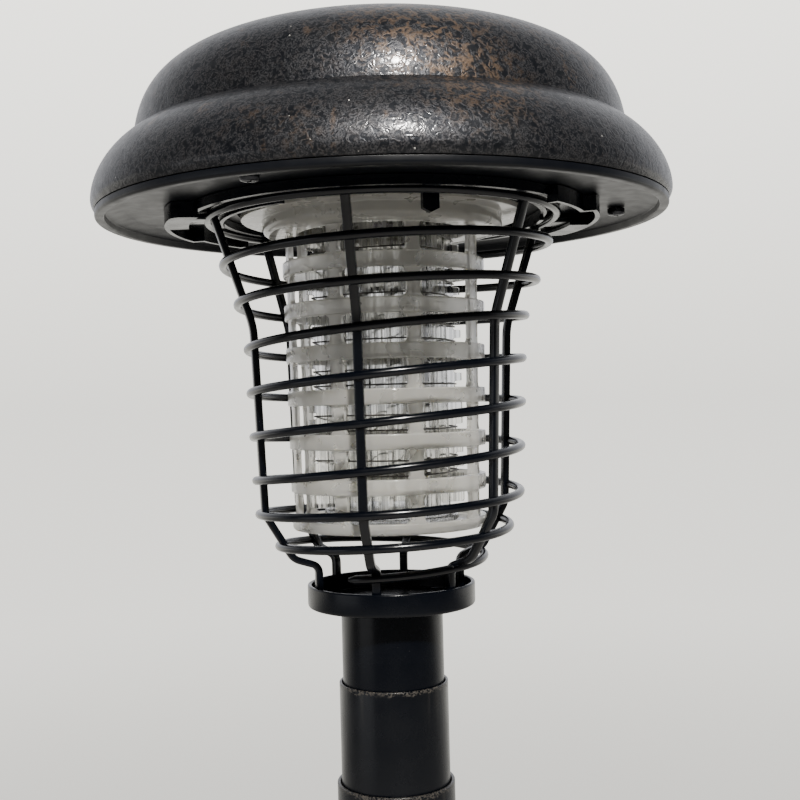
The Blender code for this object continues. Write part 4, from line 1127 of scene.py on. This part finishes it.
def make_leds():
    """Four LEDs in a ring, each a round-nosed lens with a small collar."""
    top = FLANGE_BOTTOM - 0.1 * MM
    radius = 2.3 * MM
    collar = 2.4 * MM
    lens = [(0, top - 4.6 * MM)]
    for step in range(1, 9):
        angle = math.pi / 2 * step / 8
        lens.append((radius * math.sin(angle), top - 2.4 * MM - 2.2 * MM * math.cos(angle)))
    lens += [(radius, top - 0.8 * MM), (collar, top - 0.8 * MM), (collar, top), (0, top)]
    for number in range(4):
        bm = moved(turned(lens, 32), carried_to(LED_CIRCLE, 45 + 90 * number))
        dress(as_object(f"led_dome_{number + 1}", bm), "head", "led_lens", f"uv_led_{number + 1}")


# ---------------------------------------------------------------- cage

def bar_path():
    return [(point.x * MM, BAY + point.y * MM) for point in filleted(BAR_CORNERS)]


def make_bars():
    section = flat_section(BAR_WIDTH / 2, BAR_THICK / 2, 0.55 * MM)
    for number in range(BAR_COUNT):
        bearing = BAR_FIRST + TURN * number / BAR_COUNT
        points = [at_bearing(radius, bearing, height) for radius, height in bar_path()]
        bm = sweep(points, section, at_bearing(1, bearing + 90, 0))
        dress(as_object(f"bar_{number + 1}", bm), "cage", "black_wire", f"cage_bar_{number + 1}")


def spiral_drop(turn):
    """How far the spiral has come down by a turn."""
    drop = 0
    for length, pitch in SPIRAL_STRETCHES:
        part = min(turn, length)
        drop += part * pitch
        turn -= part
    return drop * MM


def spiral_radius(height):
    """Radius at which the wire's centre lies on the outer face of the bars."""
    path = [Vector(point) for point in bar_path()]
    last = len(path) - 1
    offset = []
    for index, point in enumerate(path):
        along = (path[min(index + 1, last)] - path[max(index - 1, 0)]).normalized()
        offset.append(point + Vector((-along.y, along.x)) * BAR_THICK / 2)
    for above, below in zip(offset, offset[1:]):
        if below.y <= height <= above.y and above.y > below.y:
            share = (above.y - height) / (above.y - below.y)
            return above.x + (below.x - above.x) * share
    return offset[0].x


def spiral_point(turn):
    """A point on the spiral, which sways up and down once a turn, except near its ends."""
    bearing = SPIRAL_START - TURN * turn
    first, last = SPIRAL_SWAYING
    fade = min(max(turn - first, 0), max(last - turn, 0), 1)
    height = SPIRAL_TOP - spiral_drop(turn)
    height += SPIRAL_SWAY * fade * math.sin(math.radians(bearing))
    return at_bearing(spiral_radius(height), bearing, height)


def make_spiral():
    """The whole spiral as one wire, with rounded ends."""
    steps = int(SPIRAL_TURNS * 72)
    points = [spiral_point(SPIRAL_TURNS * step / steps) for step in range(steps + 1)]
    radii = [ROD_RADIUS] * len(points)
    radii[0] = radii[-1] = 0.5 * ROD_RADIUS
    bm = sweep(points, [circle_section(radius, 14) for radius in radii])
    nodes = [f"cage_spiral_{number}" for number in range(1, 10)]
    dress(as_object("spiral_wire", bm), "cage", "black_wire", *nodes)


def make_hoop():
    section = [(HOOP_CIRCLE + u, HOOP_HEIGHT + v) for u, v in circle_section(ROD_RADIUS, 16)]
    bm = turned(section)
    for bearing in LUG_BEARINGS:
        lug = sector(HOOP_CIRCLE, LUG_TIP, bearing, half_angle=5, steps=8)
        prism(lug, HOOP_HEIGHT - 0.9 * MM, HOOP_HEIGHT + 0.9 * MM, bm)
    hoop = as_object("top_hoop", bm)
    soften_edges(hoop, 0.25 * MM, 60)
    dress(hoop, "cage", "black_wire", "cage_hoop")


def make_dish():
    wall = 1.3 * MM
    profile = [
        (0, DISH_BOTTOM),
        (DISH_RADIUS, DISH_BOTTOM, 1.2 * MM),
        (DISH_RADIUS, DISH_TOP, 0.5 * MM),
        (DISH_RADIUS - wall, DISH_TOP, 0.5 * MM),
        (DISH_RADIUS - wall, DISH_BOTTOM + 1.5 * MM, 0.6 * MM),
        (0, DISH_BOTTOM + 1.5 * MM),
    ]
    dress(as_object("foot_dish", turned(softened(profile, 0.3 * MM, 4))), "cage", "black_plastic",
          "dish_cup")


# ---------------------------------------------------------------- stake

def make_tube(name, body, slot, node, look, outer, wall, low, high):
    profile = [(outer - wall, low), (outer, low), (outer, high), (outer - wall, high)]
    tube = as_object(name, turned(softened(profile, 0.35 * wall, 4)))
    dress(tube, body, slot, node, look=look)


def make_tubes():
    make_tube("neck", "cage", "black_plastic", "neck_tube", "black_plastic",
              NECK_RADIUS, 1.2 * MM, NECK_BOTTOM, DISH_BOTTOM - 0.3 * MM)
    make_tube("wider_tube", "extension", "pole_paint", "upper_tube", "upper_tube",
              UPPER_TUBE_RADIUS, 0.85 * MM, UPPER_TUBE_BOTTOM, UPPER_TUBE_TOP)
    make_tube("outer_tube", "stake", "pole_paint", "lower_tube", "lower_tube",
              LOWER_TUBE_RADIUS, 1.1 * MM, LOWER_TUBE_BOTTOM, LOWER_TUBE_TOP)


def make_spike():
    """Cross-bladed spike below a round flange, with a hollow spigot above it."""
    body = [
        (0, 0),
        (FLANGE_OUT, 0, 0.8 * MM),
        (FLANGE_OUT, FLANGE_THICK, 0.8 * MM),
        (SPIGOT_RADIUS, FLANGE_THICK, 0.5 * MM),
        (SPIGOT_RADIUS, SPIGOT_TOP, 1.0 * MM),
        (SPIGOT_RADIUS - 3 * MM, SPIGOT_TOP, 0.8 * MM),
        (SPIGOT_RADIUS - 3 * MM, FLANGE_THICK + 2 * MM, 0.6 * MM),
        (0, FLANGE_THICK + 2 * MM),
    ]
    spike = as_object("stake_spike", turned(softened(body, 0.3 * MM), 96))
    steps = 24
    root = 1.5 * MM
    rings = []
    for step in range(steps + 1):
        share = step / steps
        height = root - (SPIKE_DEPTH + root) * share
        half = (1.6 - 1.0 * share) * MM
        reach = max((16.8 - 15.2 * share ** 1.5) * MM, half)
        ring = []
        for quarter in range(4):
            for corner in ((half, -half), (reach - 0.4 * half, -half), (reach, -0.5 * half),
                           (reach, 0.5 * half), (reach - 0.4 * half, half)):
                ring.append(turned_to(90 * quarter + 45) @ Vector((*corner, height)))
        rings.append(ring)
    unite(spike, loft(rings))
    dress(spike, "stake", "black_plastic", "ground_spike")


# ---------------------------------------------------------------- carried-over nodes

def dress_carried_nodes():
    """Better materials for the CAD nodes whose shape is already right."""
    carried = {
        "panel_gasket": "foam",
        "solar_panel": "solar_cell",
        "panel_window": "clear_cover",
        "lamp_cup": "black_plastic",
        "led_board": "white_board",
        "circuit_board": "green_board",
        "step_up_transformer": "transformer_tape",
        "storage_capacitor": "capacitor_sleeve",
        "film_capacitor": "film_red",
        "switch_body": "switch_metal",
        "battery_holder": "black_plastic",
        "battery": "battery_wrap",
        "contact_plate": "spring_steel",
        "contact_spring": "spring_steel",
        "panel_lead_plus": "panel_lead_plus",
        "panel_lead_minus": "panel_lead_minus",
        "neck_stop_ring": "black_plastic",
    }
    for name, slot in carried.items():
        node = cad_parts[name]
        node.data.materials.clear()
        node.data.materials.append(LOOKS[slot])


# ---------------------------------------------------------------- stage

def make_floor():
    """A wide pale floor that fades into the background far from the object.

    Behind the object the far floor also shows in reflections, as a pale wall there would.
    """
    bm = bmesh.new()
    bmesh.ops.create_circle(bm, cap_ends=True, segments=96, radius=60)
    floor = as_object("floor", bm)
    floor.location.z = cad_bounds[0].z
    look = Recipe("floor_paint", {"Roughness": 0.7})
    look.colour(FLOOR_COLOUR)
    away = look.add("VectorMath", "Value", {0: look.place}, operation="LENGTH")
    around = look.span(away, 0.3, 2.2, 0.50, 1.0)
    behind = look.span(look.axis("Y"), 0.25, 1.6, 0.0, 0.8)
    seen = look.add("LightPath", "Is Camera Ray", {})
    share = look.maths("MAXIMUM", look.both(seen, around), behind)
    glow = look.add("Emission", "Emission", {"Color": BACKDROP})
    look.finish("Material Output", share, look.shader.outputs["BSDF"], glow)
    floor.data.materials.append(look.material)


def make_world():
    """Pale background, with a softer and darker room in front of the object."""
    world = bpy.data.worlds.new("studio")
    bpy.context.scene.world = world
    sky = NodeRecipe(world, "Generated")
    plain = sky.nodes["Background"]
    sky.feed(plain.inputs["Color"], BACKDROP)
    climb = sky.span(sky.axis("Z"), 0.0, 0.33, 1.0, 1.6, curve="LINEAR")
    sky.feed(plain.inputs["Strength"], climb)
    depth = sky.span(sky.axis("Y"), -0.1, 0.95, 0.07, 1.35)
    room = sky.add("Background", "Background", {"Color": (0.95, 0.96, 1.0), "Strength": depth})
    seen = sky.add("LightPath", "Is Camera Ray", {})
    sky.finish("World Output", seen, room, plain.outputs["Background"])


def make_light(name, bearing, elevation, distance, size, power, colour):
    """A soft square light, aimed at the lamp."""
    data = bpy.data.lights.new(name, "AREA")
    data.size = size
    data.energy = power
    data.color = colour
    light = bpy.data.objects.new(name, data)
    bpy.context.scene.collection.objects.link(light)
    rise = math.radians(elevation)
    aim = Vector((0, 0, BAY))
    reach = at_bearing(distance * math.cos(rise), bearing, distance * math.sin(rise))
    light.location = aim + reach
    light.rotation_mode = "QUATERNION"
    light.rotation_quaternion = (-reach).to_track_quat("-Z", "Y")


def make_lights():
    make_light("key", bearing=9, elevation=40, distance=1.3, size=0.07, power=30,
               colour=(1.0, 0.97, 0.92))
    make_light("front_fill", bearing=-62, elevation=-6, distance=2.2, size=1.4, power=5.0,
               colour=(0.97, 0.98, 1.0))


def make_camera():
    data = bpy.data.cameras.new("photo_camera")
    data.lens = CAMERA_LENS
    data.sensor_width = 36
    data.shift_x = SHIFT_X
    data.shift_y = SHIFT_Y
    data.clip_start = 0.01
    data.clip_end = 200
    camera = bpy.data.objects.new("photo_camera", data)
    bpy.context.scene.collection.objects.link(camera)
    camera.location = (0, -CAMERA_DISTANCE, BAY)
    camera.rotation_euler = (math.pi / 2, CAMERA_ROLL, 0)
    bpy.context.scene.camera = camera


# ---------------------------------------------------------------- assembly

def main():
    for make in (make_camera, make_hood, make_panel_frame, make_base_plate, make_screws,
                 make_collar, make_knob, make_diffuser, make_guard, make_core, make_live_wires,
                 make_core_cap, make_leds, make_bars, make_spiral, make_hoop, make_dish,
                 make_tubes, make_spike, dress_carried_nodes, make_floor, make_world,
                 make_lights):
        make()


main()
